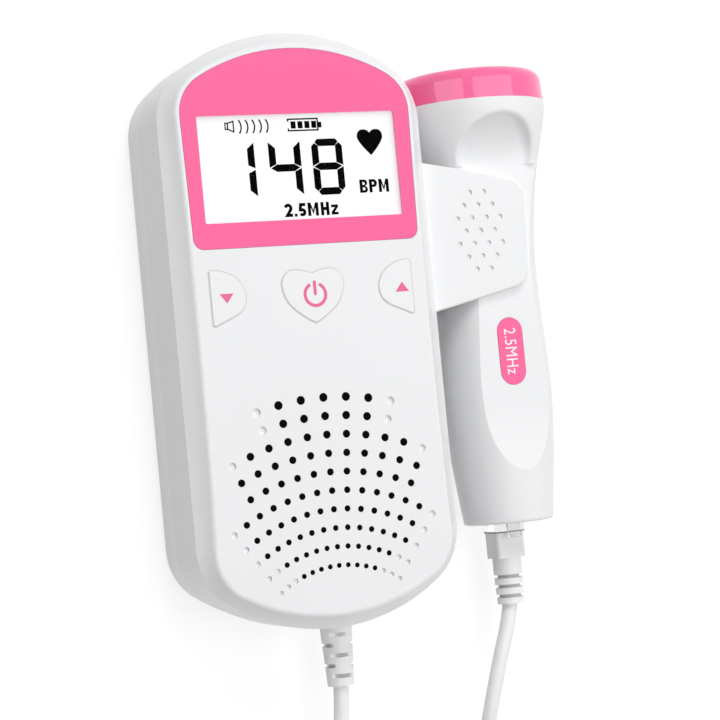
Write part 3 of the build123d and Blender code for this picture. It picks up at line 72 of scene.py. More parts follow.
# ------------------------------------------------------------------ sizes and colours
class DopplerColours(bpy.types.PropertyGroup):
    """Colours of the finishes, in linear light."""

    shell: FloatVectorProperty(
        name="Shell", description="White of the moulded case and probe",
        subtype="COLOR", size=3, min=0, max=1, default=(0.835, 0.84, 0.85))
    accent: FloatVectorProperty(
        name="Accent", description="Pink of the fascia, probe cap and printed marks",
        subtype="COLOR", size=3, min=0, max=1, default=(1.0, 0.125, 0.34))
    key_ink: FloatVectorProperty(
        name="Key marks", description="Dull pink of the marks on the keys",
        subtype="COLOR", size=3, min=0, max=1, default=(0.83, 0.155, 0.32))
    lead: FloatVectorProperty(
        name="Lead", description="Pale grey of the lead, boot and strain relief",
        subtype="COLOR", size=3, min=0, max=1, default=(0.87, 0.87, 0.87))
    display: FloatVectorProperty(
        name="Display", description="White of the lit display",
        subtype="COLOR", size=3, min=0, max=1, default=(0.86, 0.87, 0.87))
    ink: FloatVectorProperty(
        name="Display marks", description="Black of the display's marks",
        subtype="COLOR", size=3, min=0, max=1, default=(0.0012, 0.0012, 0.0015))


class DopplerSizes(bpy.types.PropertyGroup):
    """Sizes of what is added round the construction."""

    mark_height: FloatProperty(
        name="Display mark height", description="Thickness of a display mark",
        unit="LENGTH", default=0.05 * MM, min=0.01 * MM, max=0.12 * MM, precision=5)
    print_height: FloatProperty(
        name="Print height", description="Thickness of the ink on the keys and the badge",
        unit="LENGTH", default=0.03 * MM, min=0.01 * MM, max=0.1 * MM, precision=5)
    lead_diameter: FloatProperty(
        name="Lead diameter", description="Outer diameter of the lead's jacket",
        unit="LENGTH", default=3.6 * MM, min=2 * MM, max=5 * MM, precision=4)
    coil_turns: FloatProperty(
        name="Coil turns", description="Turns in each of the coil's two layers",
        default=4.25, min=1, max=6)
    coil_points: IntProperty(
        name="Points per turn", description="Control points in one turn of the coil",
        default=24, min=12, max=48)


class DopplerStage(bpy.types.PropertyGroup):
    """Floor, lights and camera."""

    brightness: FloatProperty(
        name="Brightness", description="Share of the lamps' usual power",
        default=0.965, min=0, max=5)
    panels: FloatProperty(
        name="Mirrored panels", description="Glow of the two panels that the cap mirrors",
        default=1.65, min=0, max=20)
    lens: FloatProperty(
        name="Lens", description="Focal length of the camera",
        unit="CAMERA", default=108.369, min=20, max=300)


# ------------------------------------------------------------------ material helpers
class Nodes:
    """A material's node tree, with short ways to add and join its nodes."""

    def __init__(self, name):
        self.material = bpy.data.materials.new(name)
        self.material.use_nodes = True
        self.tree = self.material.node_tree
        self.shader = next(n for n in self.tree.nodes if n.type == "BSDF_PRINCIPLED")
        self.place = self.add("ShaderNodeTexCoord").outputs["Object"]

    def add(self, kind, **settings):
        node = self.tree.nodes.new(kind)
        for key, value in settings.items():
            setattr(node, key, value)
        return node

    def feed(self, socket, value):
        """Set a socket to a number or colour, or join another node's output to it."""
        if isinstance(value, bpy.types.NodeSocket):
            self.tree.links.new(value, socket)
        elif socket.type == "RGBA" and len(value) == 3:
            socket.default_value = (*value, 1.0)
        else:
            socket.default_value = value

    def set(self, **values):
        """Set the shader's sockets; an underscore stands for a space."""
        for key, value in values.items():
            self.feed(self.shader.inputs[key.replace("_", " ")], value)

    def noise(self, scale, detail=2.0, roughness=0.5, stretch=None):
        """Noise with features of about 1 / scale metres."""
        node = self.add("ShaderNodeTexNoise")
        place = self.place
        if stretch is not None:
            mapping = self.add("ShaderNodeMapping")
            self.feed(mapping.inputs["Vector"], place)
            mapping.inputs["Scale"].default_value = stretch
            place = mapping.outputs["Vector"]
        self.feed(node.inputs["Vector"], place)
        for key, value in (("Scale", scale), ("Detail", detail), ("Roughness", roughness)):
            self.feed(node.inputs[key], value)
        return node.outputs["Fac"]

    def cells(self, scale):
        node = self.add("ShaderNodeTexVoronoi")
        self.feed(node.inputs["Vector"], self.place)
        self.feed(node.inputs["Scale"], scale)
        return node.outputs["Distance"]

    def spread(self, value, low, high, start=0.0, end=1.0, smooth=False):
        """Turn a value between start and end into one between low and high."""
        node = self.add("ShaderNodeMapRange")
        if smooth:
            node.interpolation_type = "SMOOTHSTEP"
        for key, number in (("Value", value), ("From Min", start), ("From Max", end),
                            ("To Min", low), ("To Max", high)):
            self.feed(node.inputs[key], number)
        return node.outputs["Result"]

    def vary(self, noise, low, high):
        """Turn the range that noise mostly keeps to into one between low and high."""
        return self.spread(noise, low, high, *NOISE_RANGE)

    def blend(self, share, first, second):
        """Blend two colours by a value from 0 to 1."""
        node = self.add("ShaderNodeMix", data_type="RGBA")
        self.feed(node.inputs[0], share)
        self.feed(node.inputs[6], first)
        self.feed(node.inputs[7], second)
        return node.outputs[2]

    def maths(self, operation, first, second=None):
        node = self.add("ShaderNodeMath", operation=operation)
        self.feed(node.inputs[0], first)
        if second is not None:
            self.feed(node.inputs[1], second)
        return node.outputs[0]

    def axes(self):
        node = self.add("ShaderNodeSeparateXYZ")
        self.feed(node.inputs[0], self.place)
        return node.outputs

    def past_edge(self, centre, half_x, half_y):
        """Distance past the nearest edge of an upright rectangle, negative inside it."""
        x, y, _ = self.axes()
        gaps = []
        for value, middle, half in ((x, centre.x, half_x), (y, centre.y, half_y)):
            offset = self.maths("ABSOLUTE", self.maths("SUBTRACT", value, middle))
            gaps.append(self.maths("SUBTRACT", offset, half))
        return self.maths("MAXIMUM", *gaps)

    def bump(self, height, strength, distance):
        """Raise the surface by a height value; distance is in metres."""
        node = self.add("ShaderNodeBump")
        self.feed(node.inputs["Height"], height)
        self.feed(node.inputs["Strength"], strength)
        self.feed(node.inputs["Distance"], distance)
        return node.outputs["Normal"]


def shade(colour, share):
    """The colour, darker or lighter by a share."""
    return tuple(min(1.0, c * share) for c in colour)


def moulded(name, colour, roughness, grain=1800.0, relief=0.1, flow=0.02, specular=0.5):
    """Moulded plastic: fine spark-eroded grain, and a slight drift of tone along the flow."""
    m = Nodes(name)
    drift = m.noise(35.0, 3.0)
    fine = m.noise(grain, 2.0, 0.6)
    m.set(Base_Color=m.blend(drift, shade(colour, 1 - flow), shade(colour, 1 + flow)),
          Roughness=m.vary(fine, roughness - 0.04, roughness + 0.04),
          Specular_IOR_Level=specular,
          Normal=m.bump(fine, relief, 0.02 * MM))
    return m


def metal(name, colour, roughness, stretch=(1, 1, 1), scale=900.0):
    """Bare or plated metal with fine drawn or tumbled marks."""
    m = Nodes(name)
    marks = m.noise(scale, 4.0, 0.65, stretch)
    m.set(Base_Color=m.blend(marks, shade(colour, 0.86), colour), Metallic=1.0,
          Roughness=m.vary(marks, roughness - 0.08, roughness + 0.1),
          Normal=m.bump(marks, 0.15, 0.01 * MM))
    return m


def dress(material, *names):
    """Give CAD nodes a finish."""
    for name in names:
        for slot in NODES[name].material_slots:
            slot.material = material


# ------------------------------------------------------------------ mesh helpers
def put(name, data):
    """A new object of the scene that holds a mesh, curve, lamp or camera."""
    made = bpy.data.objects.new(name, data)
    bpy.context.scene.collection.objects.link(made)
    return made


def mesh_of(bm, name):
    """The mesh of a bmesh, which is then freed."""
    mesh = bpy.data.meshes.new(name)
    bm.to_mesh(mesh)
    bm.free()
    return mesh


def finish_piece(name, mesh, material, body=None):
    """Make an object of a mesh that is in its place already, and let it ride a body, if any."""
    mesh.name = name
    mesh.materials.clear()
    mesh.materials.append(material)
    piece = put(name, mesh)
    if body is not None:
        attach(piece, body)
    return piece


def curve_mesh(curve):
    """The mesh of a curve or text, which is then removed."""
    holder = put("holder", curve)
    bpy.context.view_layer.update()
    made = bpy.data.meshes.new_from_object(
        holder.evaluated_get(bpy.context.evaluated_depsgraph_get()))
    bpy.data.objects.remove(holder)
    bpy.data.curves.remove(curve)
    return made


def straight(points):
    """A corner outline: knots whose handles lie on them."""
    return [(p, p, p) for p in points]


def strap(centre, radius, width, start, sweep, parts=6, round_ends=True):
    """The outline of a bent stroke round a centre, from an angle in degrees."""
    knots = []
    cap = 2 / 3 * width if round_ends else 0.0
    for r, turn in ((radius + width / 2, 1), (radius - width / 2, -1)):
        reach = 4 / 3 * math.tan(math.radians(sweep / parts) / 4) * r
        steps = range(parts + 1) if turn > 0 else range(parts, -1, -1)
        for count, k in enumerate(steps):
            angle = math.radians(start + sweep * k / parts)
            x, y = math.cos(angle), math.sin(angle)
            knot = Vector((centre[0] + r * x, centre[1] + r * y))
            along = Vector((-y, x)) * turn
            before = cap if count == 0 else reach
            after = cap if count == parts else reach
            knots.append((tuple(knot - along * before), tuple(knot),
                          tuple(knot + along * after)))
    return knots


def printed(outlines, bottom, height):
    """A mesh of flat marks: outlines in millimetres, filled and given their thickness."""
    curve = bpy.data.curves.new("marks", "CURVE")
    curve.dimensions = "2D"
    curve.fill_mode = "BOTH"
    curve.resolution_u = 8
    curve.extrude = height / 2
    for outline in outlines:
        spline = curve.splines.new("BEZIER")
        spline.bezier_points.add(len(outline) - 1)
        spline.use_cyclic_u = True
        for point, (left, knot, right) in zip(spline.bezier_points, outline):
            point.handle_left_type = point.handle_right_type = "FREE"
            point.handle_left = (left[0] * MM, left[1] * MM, 0)
            point.co = (knot[0] * MM, knot[1] * MM, 0)
            point.handle_right = (right[0] * MM, right[1] * MM, 0)
    mesh = curve_mesh(curve)
    tidy_mesh(mesh)
    mesh.transform(Matrix.Translation((0, 0, bottom + height / 2)))
    return mesh


def lettered(body, low, high, bottom, height, turn, spacing):
    """A mesh of turned words that fills the rectangle between two corners in millimetres."""
    text = bpy.data.curves.new("words", "FONT")
    text.body = body
    text.space_character = spacing
    text.resolution_u = 5
    text.extrude = 0.01
    mesh = curve_mesh(text)
    mesh.transform(Matrix.Rotation(math.radians(turn), 4, "Z"))
    corners = [Vector([pick(v.co[i] for v in mesh.vertices) for i in range(3)])
               for pick in (min, max)]
    size = corners[1] - corners[0]
    wanted = ((high[0] - low[0]) * MM, (high[1] - low[1]) * MM, height)
    scale = Matrix.Diagonal([w / s for w, s in zip(wanted, size)]).to_4x4()
    place = Matrix.Translation((low[0] * MM, low[1] * MM, bottom))
    mesh.transform(place @ scale @ Matrix.Translation(-corners[0]))
    tidy_mesh(mesh)
    return mesh


def tidy_mesh(mesh):
    """Merge doubles and turn the faces outwards."""
    bm = bmesh.new()
    bm.from_mesh(mesh)
    bmesh.ops.remove_doubles(bm, verts=bm.verts, dist=1e-7)
    bmesh.ops.recalc_face_normals(bm, faces=bm.faces)
    bm.to_mesh(mesh)
    bm.free()


# ------------------------------------------------------------------ finishes
PLATE_BORDER_INSET = 1.2
PLATE_LINE = 0.14
SLEEVE_END = 15.0
SLEEVE_END_BLUR = 0.2


def pink_gloss(colours):
    m = moulded("pink_gloss_abs", colours.accent, 0.1, 500.0, 0.02, 0.015)
    m.set(Coat_Weight=0.35, Coat_Roughness=0.05)
    return m


class DOPPLER_OT_finish_case(bpy.types.Operator):
    """Finish the case, fascia, keys and battery door"""

    bl_idname = "doppler.finish_case"
    bl_label = "Case finishes"

    def execute(self, context):
        colours = context.scene.doppler_colours
        dress(moulded("white_abs", colours.shell, 0.38).material,
              "front_shell", "rear_shell", "battery_door")
        dress(pink_gloss(colours).material, "fascia_panel")
        keys = moulded("key_white_abs", shade(colours.shell, 1.01), 0.34, 2200.0, 0.06, 0.01)
        dress(keys.material, "power_key", "down_key", "up_key")
        rubber = moulded("silicone_rubber", (0.62, 0.62, 0.63), 0.6, 1200.0, 0.12, 0.03, 0.35)
        dress(rubber.material, "key_mat")
        self.plate()
        return {"FINISHED"}

    def plate(self):
        """The bare rating plate: brushed silver film with a printed border line."""
        low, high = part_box("rating_plate")
        half = (high - low) / 2
        m = Nodes("rating_film")
        inset = m.past_edge((low + high) / 2, half.x, half.y)
        line = m.maths("COMPARE", inset, -PLATE_BORDER_INSET * MM)
        line.node.inputs[2].default_value = PLATE_LINE * MM
        brushed = m.noise(600.0, 3.0, 0.6, (1.0, 30.0, 1.0))
        film = m.blend(brushed, (0.56, 0.57, 0.58), (0.68, 0.69, 0.70))
        m.set(Base_Color=m.blend(line, film, (0.12, 0.12, 0.13)), Metallic=0.25,
              Roughness=m.vary(brushed, 0.34, 0.46))
        dress(m.material, "rating_plate")


# ------------------------------------------------------------------ key webs, grille fabric with painted shade
WEB_DROP = 0.3
WEB_GAP = 0.02
WEB_WIDTH = 0.21
WEB_THICKNESS = 0.3
GRILLE_HOLES = (9, 11, 13, 13, 13, 11, 11, 9, 5, 5)
GRILLE_CENTRE_Y = -78.8
GRILLE_FIRST_RADIUS = 25.2
GRILLE_PITCH = 4.2
GRILLE_ANGLE = 5.0
GRILLE_HOLE_SIZES = (1.16, 2.02)
FACE_TOP = 32.0
CLOTH_DROP = 0.17
CLOTH_THICKNESS = 0.1
CLOTH_GAP = 0.015


class DOPPLER_OT_fill_gaps(bpy.types.Operator):
    """Web the gaps round the keys with silicone and back the grille's holes with fabric discs
    painted near black as their shade
    """

    bl_idname = "doppler.fill_gaps"
    bl_label = "Key webs and grille cloth"

    def execute(self, context):
        rubber = moulded("web_silicone", (0.70, 0.70, 0.71), 0.6, 1200.0, 0.12, 0.03, 0.3)
        for name in ("power", "down", "up"):
            finish_piece(name + "_web", self.web(NODES[name + "_key"]), rubber.material,
                         "main_unit")
        cloth = Nodes("grille_fabric_and_shade")
        # Painted shade: the fabric discs are near black, 0.002 to 0.006, standing in for the shade
        # inside the grille's holes.
        weave = cloth.cells(5200.0)
        cloth.set(Base_Color=cloth.blend(weave, (0.002, 0.002, 0.002), (0.006, 0.006, 0.006)),
                  Roughness=0.95, Specular_IOR_Level=0.0, Normal=cloth.bump(weave, 0.4, 0.03 * MM))
        finish_piece("grille_fabric_and_shade", self.cloth(), cloth.material, "main_unit")
        return {"FINISHED"}

    def web(self, key):
        """A thin ring that follows the key's outline, a hair away from it."""
        top = KEY_TOP - WEB_DROP * MM
        bm = bmesh.new()
        bm.from_mesh(key.data)
        bm.transform(key.matrix_world)
        bmesh.ops.remove_doubles(bm, verts=bm.verts, dist=1e-6)
        bmesh.ops.bisect_plane(bm, geom=bm.verts[:] + bm.edges[:] + bm.faces[:],
                               plane_co=(0, 0, top), plane_no=(0, 0, 1), clear_inner=True,
                               clear_outer=True)
        bmesh.ops.dissolve_limit(bm, angle_limit=0.002, verts=bm.verts[:], edges=bm.edges[:])
        bmesh.ops.edgeloop_fill(bm, edges=bm.edges[:])
        section = bm.faces[:]
        outset = {"faces": section, "use_boundary": True, "use_even_offset": True}
        gap = bmesh.ops.inset_region(bm, thickness=-WEB_GAP * MM, **outset)["faces"]
        bmesh.ops.delete(bm, geom=gap, context="FACES")
        bmesh.ops.inset_region(bm, thickness=-WEB_WIDTH * MM, **outset)
        bmesh.ops.delete(bm, geom=section, context="FACES")
        bmesh.ops.solidify(bm, geom=bm.faces[:], thickness=WEB_THICKNESS * MM)
        lift = top - max(v.co.z for v in bm.verts)
        bmesh.ops.translate(bm, verts=bm.verts[:], vec=(0, 0, lift))
        bmesh.ops.recalc_face_normals(bm, faces=bm.faces[:])
        return mesh_of(bm, "web")

    def cloth(self):
        """A disc of acoustic fabric in each of the grille's holes, whose near-black colour is
        painted shade.
        """
        bm = bmesh.new()
        small, large = GRILLE_HOLE_SIZES
        for row, count in enumerate(GRILLE_HOLES):
            reach = GRILLE_FIRST_RADIUS + GRILLE_PITCH * row
            size = small + (large - small) * row / (len(GRILLE_HOLES) - 1)
            radius = (size / 2 - CLOTH_GAP) * MM
            for k in range(count):
                angle = math.radians((k - (count - 1) / 2) * GRILLE_ANGLE)
                place = Vector((reach * math.sin(angle),
                                GRILLE_CENTRE_Y + reach * math.cos(angle),
                                FACE_TOP - CLOTH_DROP))
                bmesh.ops.create_cone(bm, cap_ends=True, segments=20,
                                      depth=CLOTH_THICKNESS * MM, radius1=radius,
                                      radius2=radius, matrix=Matrix.Translation(place * MM))
        return mesh_of(bm, "cloth")


# Grooved pieces whose grooves get painted shade: length with grooves, radius of the grooves'
# floor, radius of the rim.
GROOVED = (("plug_boot", 7.0, 2.65, 3.1), ("main_relief", 14.3, 2.2, 2.95))


class DOPPLER_OT_finish_probe(bpy.types.Operator):
    """Finish the probe's shells, cap, badge and plug"""

    bl_idname = "doppler.finish_probe"
    bl_label = "Probe finishes"

    def execute(self, context):
        colours = context.scene.doppler_colours
        dress(moulded("probe_white_abs", colours.shell, 0.36).material,
              "probe_front_shell", "probe_rear_shell")
        pink = pink_gloss(colours).material
        pink.name = "cap_pink_abs"
        dress(pink, "probe_cap", "probe_badge")
        seal = moulded("seal_rubber", (0.55, 0.55, 0.56), 0.62, 900.0, 0.15, 0.04, 0.3)
        dress(seal.material, "cap_seal")
        for name, length, floor, rim in GROOVED:
            dress(lead_rubber(name, colours, length, floor, rim).material, name)
        clear = Nodes("clear_polycarbonate")
        haze = clear.noise(700.0, 2.0)
        clear.set(Base_Color=(0.84, 0.85, 0.86), Transmission_Weight=1.0, IOR=1.52,
                  Roughness=clear.vary(haze, 0.03, 0.09))
        dress(clear.material, "plug_body")
        dress(metal("gold_contacts", (0.93, 0.70, 0.28), 0.24).material,
              "plug_contacts", "jack_contacts")
        return {"FINISHED"}


def lead_rubber(name, colours, length=0.0, floor=0.0, rim=0.0):
    """Soft PVC with a satin skin, with painted shade darkening the grooves at a piece's lower end.
    """
    m = moulded(name + "_pvc", colours.lead, 0.42, 1400.0, 0.08, 0.02, 0.45)
    if length:
        low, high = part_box(name)
        axis = (low + high) / 2
        x, y, z = m.axes()
        offset = [m.maths("POWER", m.maths("SUBTRACT", value, centre), 2.0)
                  for value, centre in ((x, axis.x), (z, axis.z))]
        radius = m.maths("SQRT", m.maths("ADD", *offset))
        depth = m.spread(radius, 1.0, 0.0, floor * MM, rim * MM, True)
        groove_shade = m.maths("MULTIPLY", depth, m.maths("LESS_THAN", y, low.y + length * MM))
        # Painted shade: towards the grooves' floors the colour darkens to 0.55 of the lead's;
        # elsewhere it is 0.98 of it.
        m.set(Base_Color=m.blend(groove_shade, shade(colours.lead, 0.98), shade(colours.lead, 0.55)))
    return m


class DOPPLER_OT_finish_inside(bpy.types.Operator):
    """Finish the board, speaker, cells, contacts, screws and transducer"""

    bl_idname = "doppler.finish_inside"
    bl_label = "Inner finishes"

    def execute(self, context):
        dress(self.board().material, "main_board", "probe_board")
        black = moulded("black_nylon", (0.018, 0.018, 0.02), 0.45, 1100.0, 0.15, 0.1)
        dress(black.material, "board_parts", "lcd_frame", "probe_jack")
        tray = moulded("tray_abs", (0.70, 0.70, 0.71), 0.5, 1000.0, 0.15, 0.03)
        dress(tray.material, "battery_tray")
        steel = metal("zinc_steel", (0.60, 0.61, 0.63), 0.34)
        dress(steel.material, "speaker_frame", "speaker_screws", "case_screws",
              "board_screws", "probe_screws")
        dress(metal("nickel_strip", (0.72, 0.70, 0.66), 0.26, (1, 6, 1)).material,
              "contact_bridge", "contact_plus", "contact_minus", "contact_springs")
        dress(metal("magnet_plating", (0.34, 0.34, 0.36), 0.4, scale=500.0).material,
              "speaker_magnet")
        dress(self.paper().material, "speaker_cone")
        dress(self.foam().material, "speaker_gasket")
        dress(self.sleeve().material, "cell_left", "cell_right")
        dress(self.ceramic().material, "transducer_disc")
        dress(moulded("filled_epoxy", (0.045, 0.043, 0.042), 0.62, 1500.0, 0.35, 0.25).material,
              "transducer_backing")
        return {"FINISHED"}

    def board(self):
        """Green solder mask over copper tracks."""
        m = Nodes("solder_mask")
        tracks = m.add("ShaderNodeTexBrick", offset=0.35, squash=1.6, squash_frequency=3)
        m.feed(tracks.inputs["Vector"], m.place)
        for key, value in (("Scale", 60.0), ("Mortar Size", 0.012), ("Mortar Smooth", 0.1),
                           ("Brick Width", 0.22), ("Row Height", 0.075)):
            tracks.inputs[key].default_value = value
        tone = m.noise(120.0, 3.0)
        mask = m.blend(tone, (0.012, 0.10, 0.035), (0.02, 0.15, 0.055))
        m.set(Base_Color=m.blend(tracks.outputs["Fac"], mask, (0.05, 0.24, 0.09)),
              Roughness=m.vary(tone, 0.22, 0.34), Coat_Weight=0.4,
              Normal=m.bump(tracks.outputs["Fac"], 0.3, 0.03 * MM))
        return m

    def paper(self):
        """Pressed black paper with its fibres."""
        m = Nodes("paper_cone")
        fibres = m.noise(1300.0, 5.0, 0.75, (1.0, 3.0, 1.0))
        m.set(Base_Color=m.blend(fibres, (0.02, 0.02, 0.022), (0.06, 0.058, 0.055)),
              Roughness=m.vary(fibres, 0.75, 0.95), Sheen_Weight=0.15,
              Normal=m.bump(fibres, 0.5, 0.05 * MM))
        return m

    def foam(self):
        """Closed-cell foam."""
        m = Nodes("closed_foam")
        cells = m.cells(2200.0)
        m.set(Base_Color=m.blend(cells, (0.03, 0.03, 0.032), (0.085, 0.085, 0.09)),
              Roughness=0.92, Normal=m.bump(cells, 0.6, 0.12 * MM))
        return m

    def sleeve(self):
        """A cell's printed foil sleeve: dark over most of its length, warm metal at one end."""
        _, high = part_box("cell_left")
        m = Nodes("cell_sleeve")
        _, y, _ = m.axes()
        band = m.spread(y, 0.0, 1.0, high.y - (SLEEVE_END + SLEEVE_END_BLUR) * MM,
                        high.y - (SLEEVE_END - SLEEVE_END_BLUR) * MM)
        shine = m.noise(400.0, 2.0)
        m.set(Base_Color=m.blend(band, (0.025, 0.026, 0.03), (0.72, 0.36, 0.16)),
              Metallic=m.spread(band, 0.35, 0.9),
              Roughness=m.vary(shine, 0.24, 0.34))
        return m

    def ceramic(self):
        """Fired silver electrode on a piezo disc."""
        m = Nodes("silvered_ceramic")
        grain = m.noise(2600.0, 4.0, 0.7)
        m.set(Base_Color=m.blend(grain, (0.62, 0.60, 0.55), (0.80, 0.78, 0.73)), Metallic=0.55,
              Roughness=m.vary(grain, 0.42, 0.6),
              Normal=m.bump(grain, 0.2, 0.01 * MM))
        return m


# ------------------------------------------------------------------ display
DIGIT_STROKE = 1.66
DIGIT_GAP = 0.15
DIGIT_MIDDLE = 36.5

# Each figure: its lit segments, left, right, bottom and top edges, and cut corners.
DIGITS = (("bc", -16.0, -10.5, 30.2, 42.65, 0.0), ("fgbc", -7.08, 0.65, 30.2, 42.6, 0.0),
          ("abcdefg", 3.4, 10.93, 30.0, 42.8, 1.5))

# Words: each sign with its left and right edges, and the words' baseline.
WORDS = (
    ((("2", -4.62, -2.55), (".", -2.12, -1.46), ("5", -1.12, 0.72), ("M", 1.18, 3.76),
      ("H", 4.36, 6.4)), 25.36),
    ((("B", 14.46, 16.44), ("P", 16.84, 18.82), ("M", 19.22, 21.72)), 30.06),
)
WORD_HEIGHT = 3.02
WORD_STROKE = 0.72
SMALL_LETTER = ("z", 6.9, 8.6, 25.4, 27.68, 0.6)
SYMBOL_LINE = 0.34
WINDOW_HALF_X = 24.0
WINDOW_HALF_Y = 12.0


def segments(lit, left, right, bottom, top, cut):
    """Outlines of a seven-segment figure's lit segments; cut takes off its outer corners."""
    w, g, middle = DIGIT_STROKE, DIGIT_GAP, DIGIT_MIDDLE
    shapes = []
    for letter, x, inward, low, high, lead in (
            ("b", right, -1, middle, top, 1), ("f", left, 1, middle, top, 1),
            ("c", right, -1, middle, bottom, -1), ("e", left, 1, middle, bottom, -1)):
        if letter in lit:
            shapes.append([(x, low + lead * g),
                           (x + inward * w, low + lead * (w / 2 + g / 2)),
                           (x + inward * w, high - lead * (0.85 * w + g)),
                           (x + inward * cut / 2, high - lead * (cut / 2 + g)),
                           (x, high - lead * (cut + g))])
    for letter, y, inward in (("a", top, -1), ("d", bottom, 1)):
        if letter in lit:
            shapes.append([(left + cut, y), (right - cut, y),
                           (right - cut / 2 - g, y + inward * cut / 2),
                           (right - w - g, y + inward * w), (left + w + g, y + inward * w),
                           (left + cut / 2 + g, y + inward * cut / 2)])
    if "g" in lit:
        tip, foot = 0.3, w + 0.1
        shapes.append([(left + tip, middle), (left + foot, middle + w / 2),
                       (right - foot, middle + w / 2), (right - tip, middle),
                       (right - foot, middle - w / 2), (left + foot, middle - w / 2)])
    return [straight(shape) for shape in shapes]


def rectangle(x0, x1, y0, y1):
    return straight([(x0, y0), (x1, y0), (x1, y1), (x0, y1)])


def stroke(points, width):
    """The outline of a line of even width through points, with mitred corners."""
    points = [Vector(p) for p in points]
    sides = ([], [])
    for k, point in enumerate(points):
        normals = []
        for a, b in ((k - 1, k), (k, k + 1)):
            if a >= 0 and b < len(points):
                along = (points[b] - points[a]).normalized()
                normals.append(Vector((-along.y, along.x)))
        first, last = normals[0], normals[-1]
        reach = (first + last) * (width / 2 / (1 + first.dot(last)))
        sides[0].append(tuple(point + reach))
        sides[1].append(tuple(point - reach))
    return straight(sides[0] + sides[1][::-1])


def bend(centre, rx, ry, start, sweep, parts=12):
    """Points along an arc of an ellipse, with angles in degrees."""
    angles = [math.radians(start + sweep * k / parts) for k in range(parts + 1)]
    return [(centre[0] + rx * math.cos(a), centre[1] + ry * math.sin(a)) for a in angles]


def bowl(x1, y0, y1):
    """Knots of a half round that bulges to x1 between two heights."""
    r = (y1 - y0) / 2
    x, y, k = x1 - r, (y0 + y1) / 2, 0.5523 * r
    return [((x, y0), (x, y0), (x + k, y0)), ((x1, y - k), (x1, y), (x1, y + k)),
            ((x + k, y1), (x, y1), (x, y1))]


def dee(x0, x1, y0, y1):
    return straight([(x0, y0)]) + bowl(x1, y0, y1) + straight([(x0, y1)])


def letter(sign, x0, x1, y0, y1, t):
    """Outlines of a bold capital, figure or sign of stroke t that fills a rectangle."""
    cx, cy = (x0 + x1) / 2, (y0 + y1) / 2
    if sign == "B":
        notch = x1 - 0.06
        return [straight([(x0, y0)]) + bowl(x1, y0, cy) + bowl(notch, cy, y1)
                + straight([(x0, y1)]),
                dee(x0 + t, x1 - t * 0.82, y0 + t * 0.8, cy - t * 0.4),
                dee(x0 + t, notch - t * 0.82, cy + t * 0.4, y1 - t * 0.8)]
    if sign == "P":
        low = y0 + 0.4 * (y1 - y0)
        return [straight([(x0, y0), (x0 + t, y0), (x0 + t, low)]) + bowl(x1, low, y1)
                + straight([(x0, y1)]), dee(x0 + t, x1 - t, low + t * 0.8, y1 - t * 0.8)]
    if sign == "M":
        return [straight([(x0, y0), (x0, y1), (x0 + t, y1), (cx, y0 + 0.42 * (y1 - y0)),
                          (x1 - t, y1), (x1, y1), (x1, y0), (x1 - t, y0),
                          (x1 - t, y1 - 0.36 * (y1 - y0)), (cx, y0 + 0.12 * (y1 - y0)),
                          (x0 + t, y1 - 0.36 * (y1 - y0)), (x0 + t, y0)])]
    if sign == "H":
        return [straight([(x0, y0), (x0, y1), (x0 + t, y1), (x0 + t, cy + t / 2),
                          (x1 - t, cy + t / 2), (x1 - t, y1), (x1, y1), (x1, y0), (x1 - t, y0),
                          (x1 - t, cy - t / 2), (x0 + t, cy - t / 2), (x0 + t, y0)])]
    if sign == "z":
        return [straight([(x0, y1), (x1, y1), (x1, y1 - t), (x0 + 1.3 * t, y0 + t), (x1, y0 + t),
                          (x1, y0), (x0, y0), (x0, y0 + t), (x1 - 1.3 * t, y1 - t),
                          (x0, y1 - t)])]
    if sign == "2":
        r = (x1 - x0 - t) / 2
        return [stroke(bend((cx, y1 - r - t / 2), r, r, 165, -205)
                       + [(x0 + t, y0 + t / 2), (x1, y0 + t / 2)], t)]
    if sign == "5":
        r = (x1 - x0 - t) / 2
        return [stroke([(x1 - 0.1, y1 - t / 2), (x0 + 0.8 * t, y1 - t / 2),
                        (x0 + 0.6 * t, y0 + 2 * r + t / 2)]
                       + bend((cx, y0 + r + t / 2), r, r, 105, -250), t)]
    return [rectangle(x0, x1, y0, y0 + x1 - x0)]


def heart(x0, x1, y0, y1):
    """A heart's outline that fills a rectangle."""
    cx, w, h = (x0 + x1) / 2, x1 - x0, y1 - y0
    half = [((0.36, 0.0), (0.24, 0.0), (0.10, 0.0)), ((0.0, 0.12), (0.0, 0.27), (0.0, 0.46))]
    right = [tuple((x1 - a * w, y1 - b * h) for a, b in knot) for knot in half]
    left = [tuple((x0 + a * w, y1 - b * h) for a, b in reversed(knot))
            for knot in reversed(half)]
    notch = ((cx - 0.05 * w, y1 - 0.04 * h), (cx, y1 - 0.14 * h), (cx + 0.05 * w, y1 - 0.04 * h))
    tip = ((cx + 0.16 * w, y0 + 0.16 * h), (cx, y0), (cx - 0.16 * w, y0 + 0.16 * h))
    return [notch, *right, tip, *left]


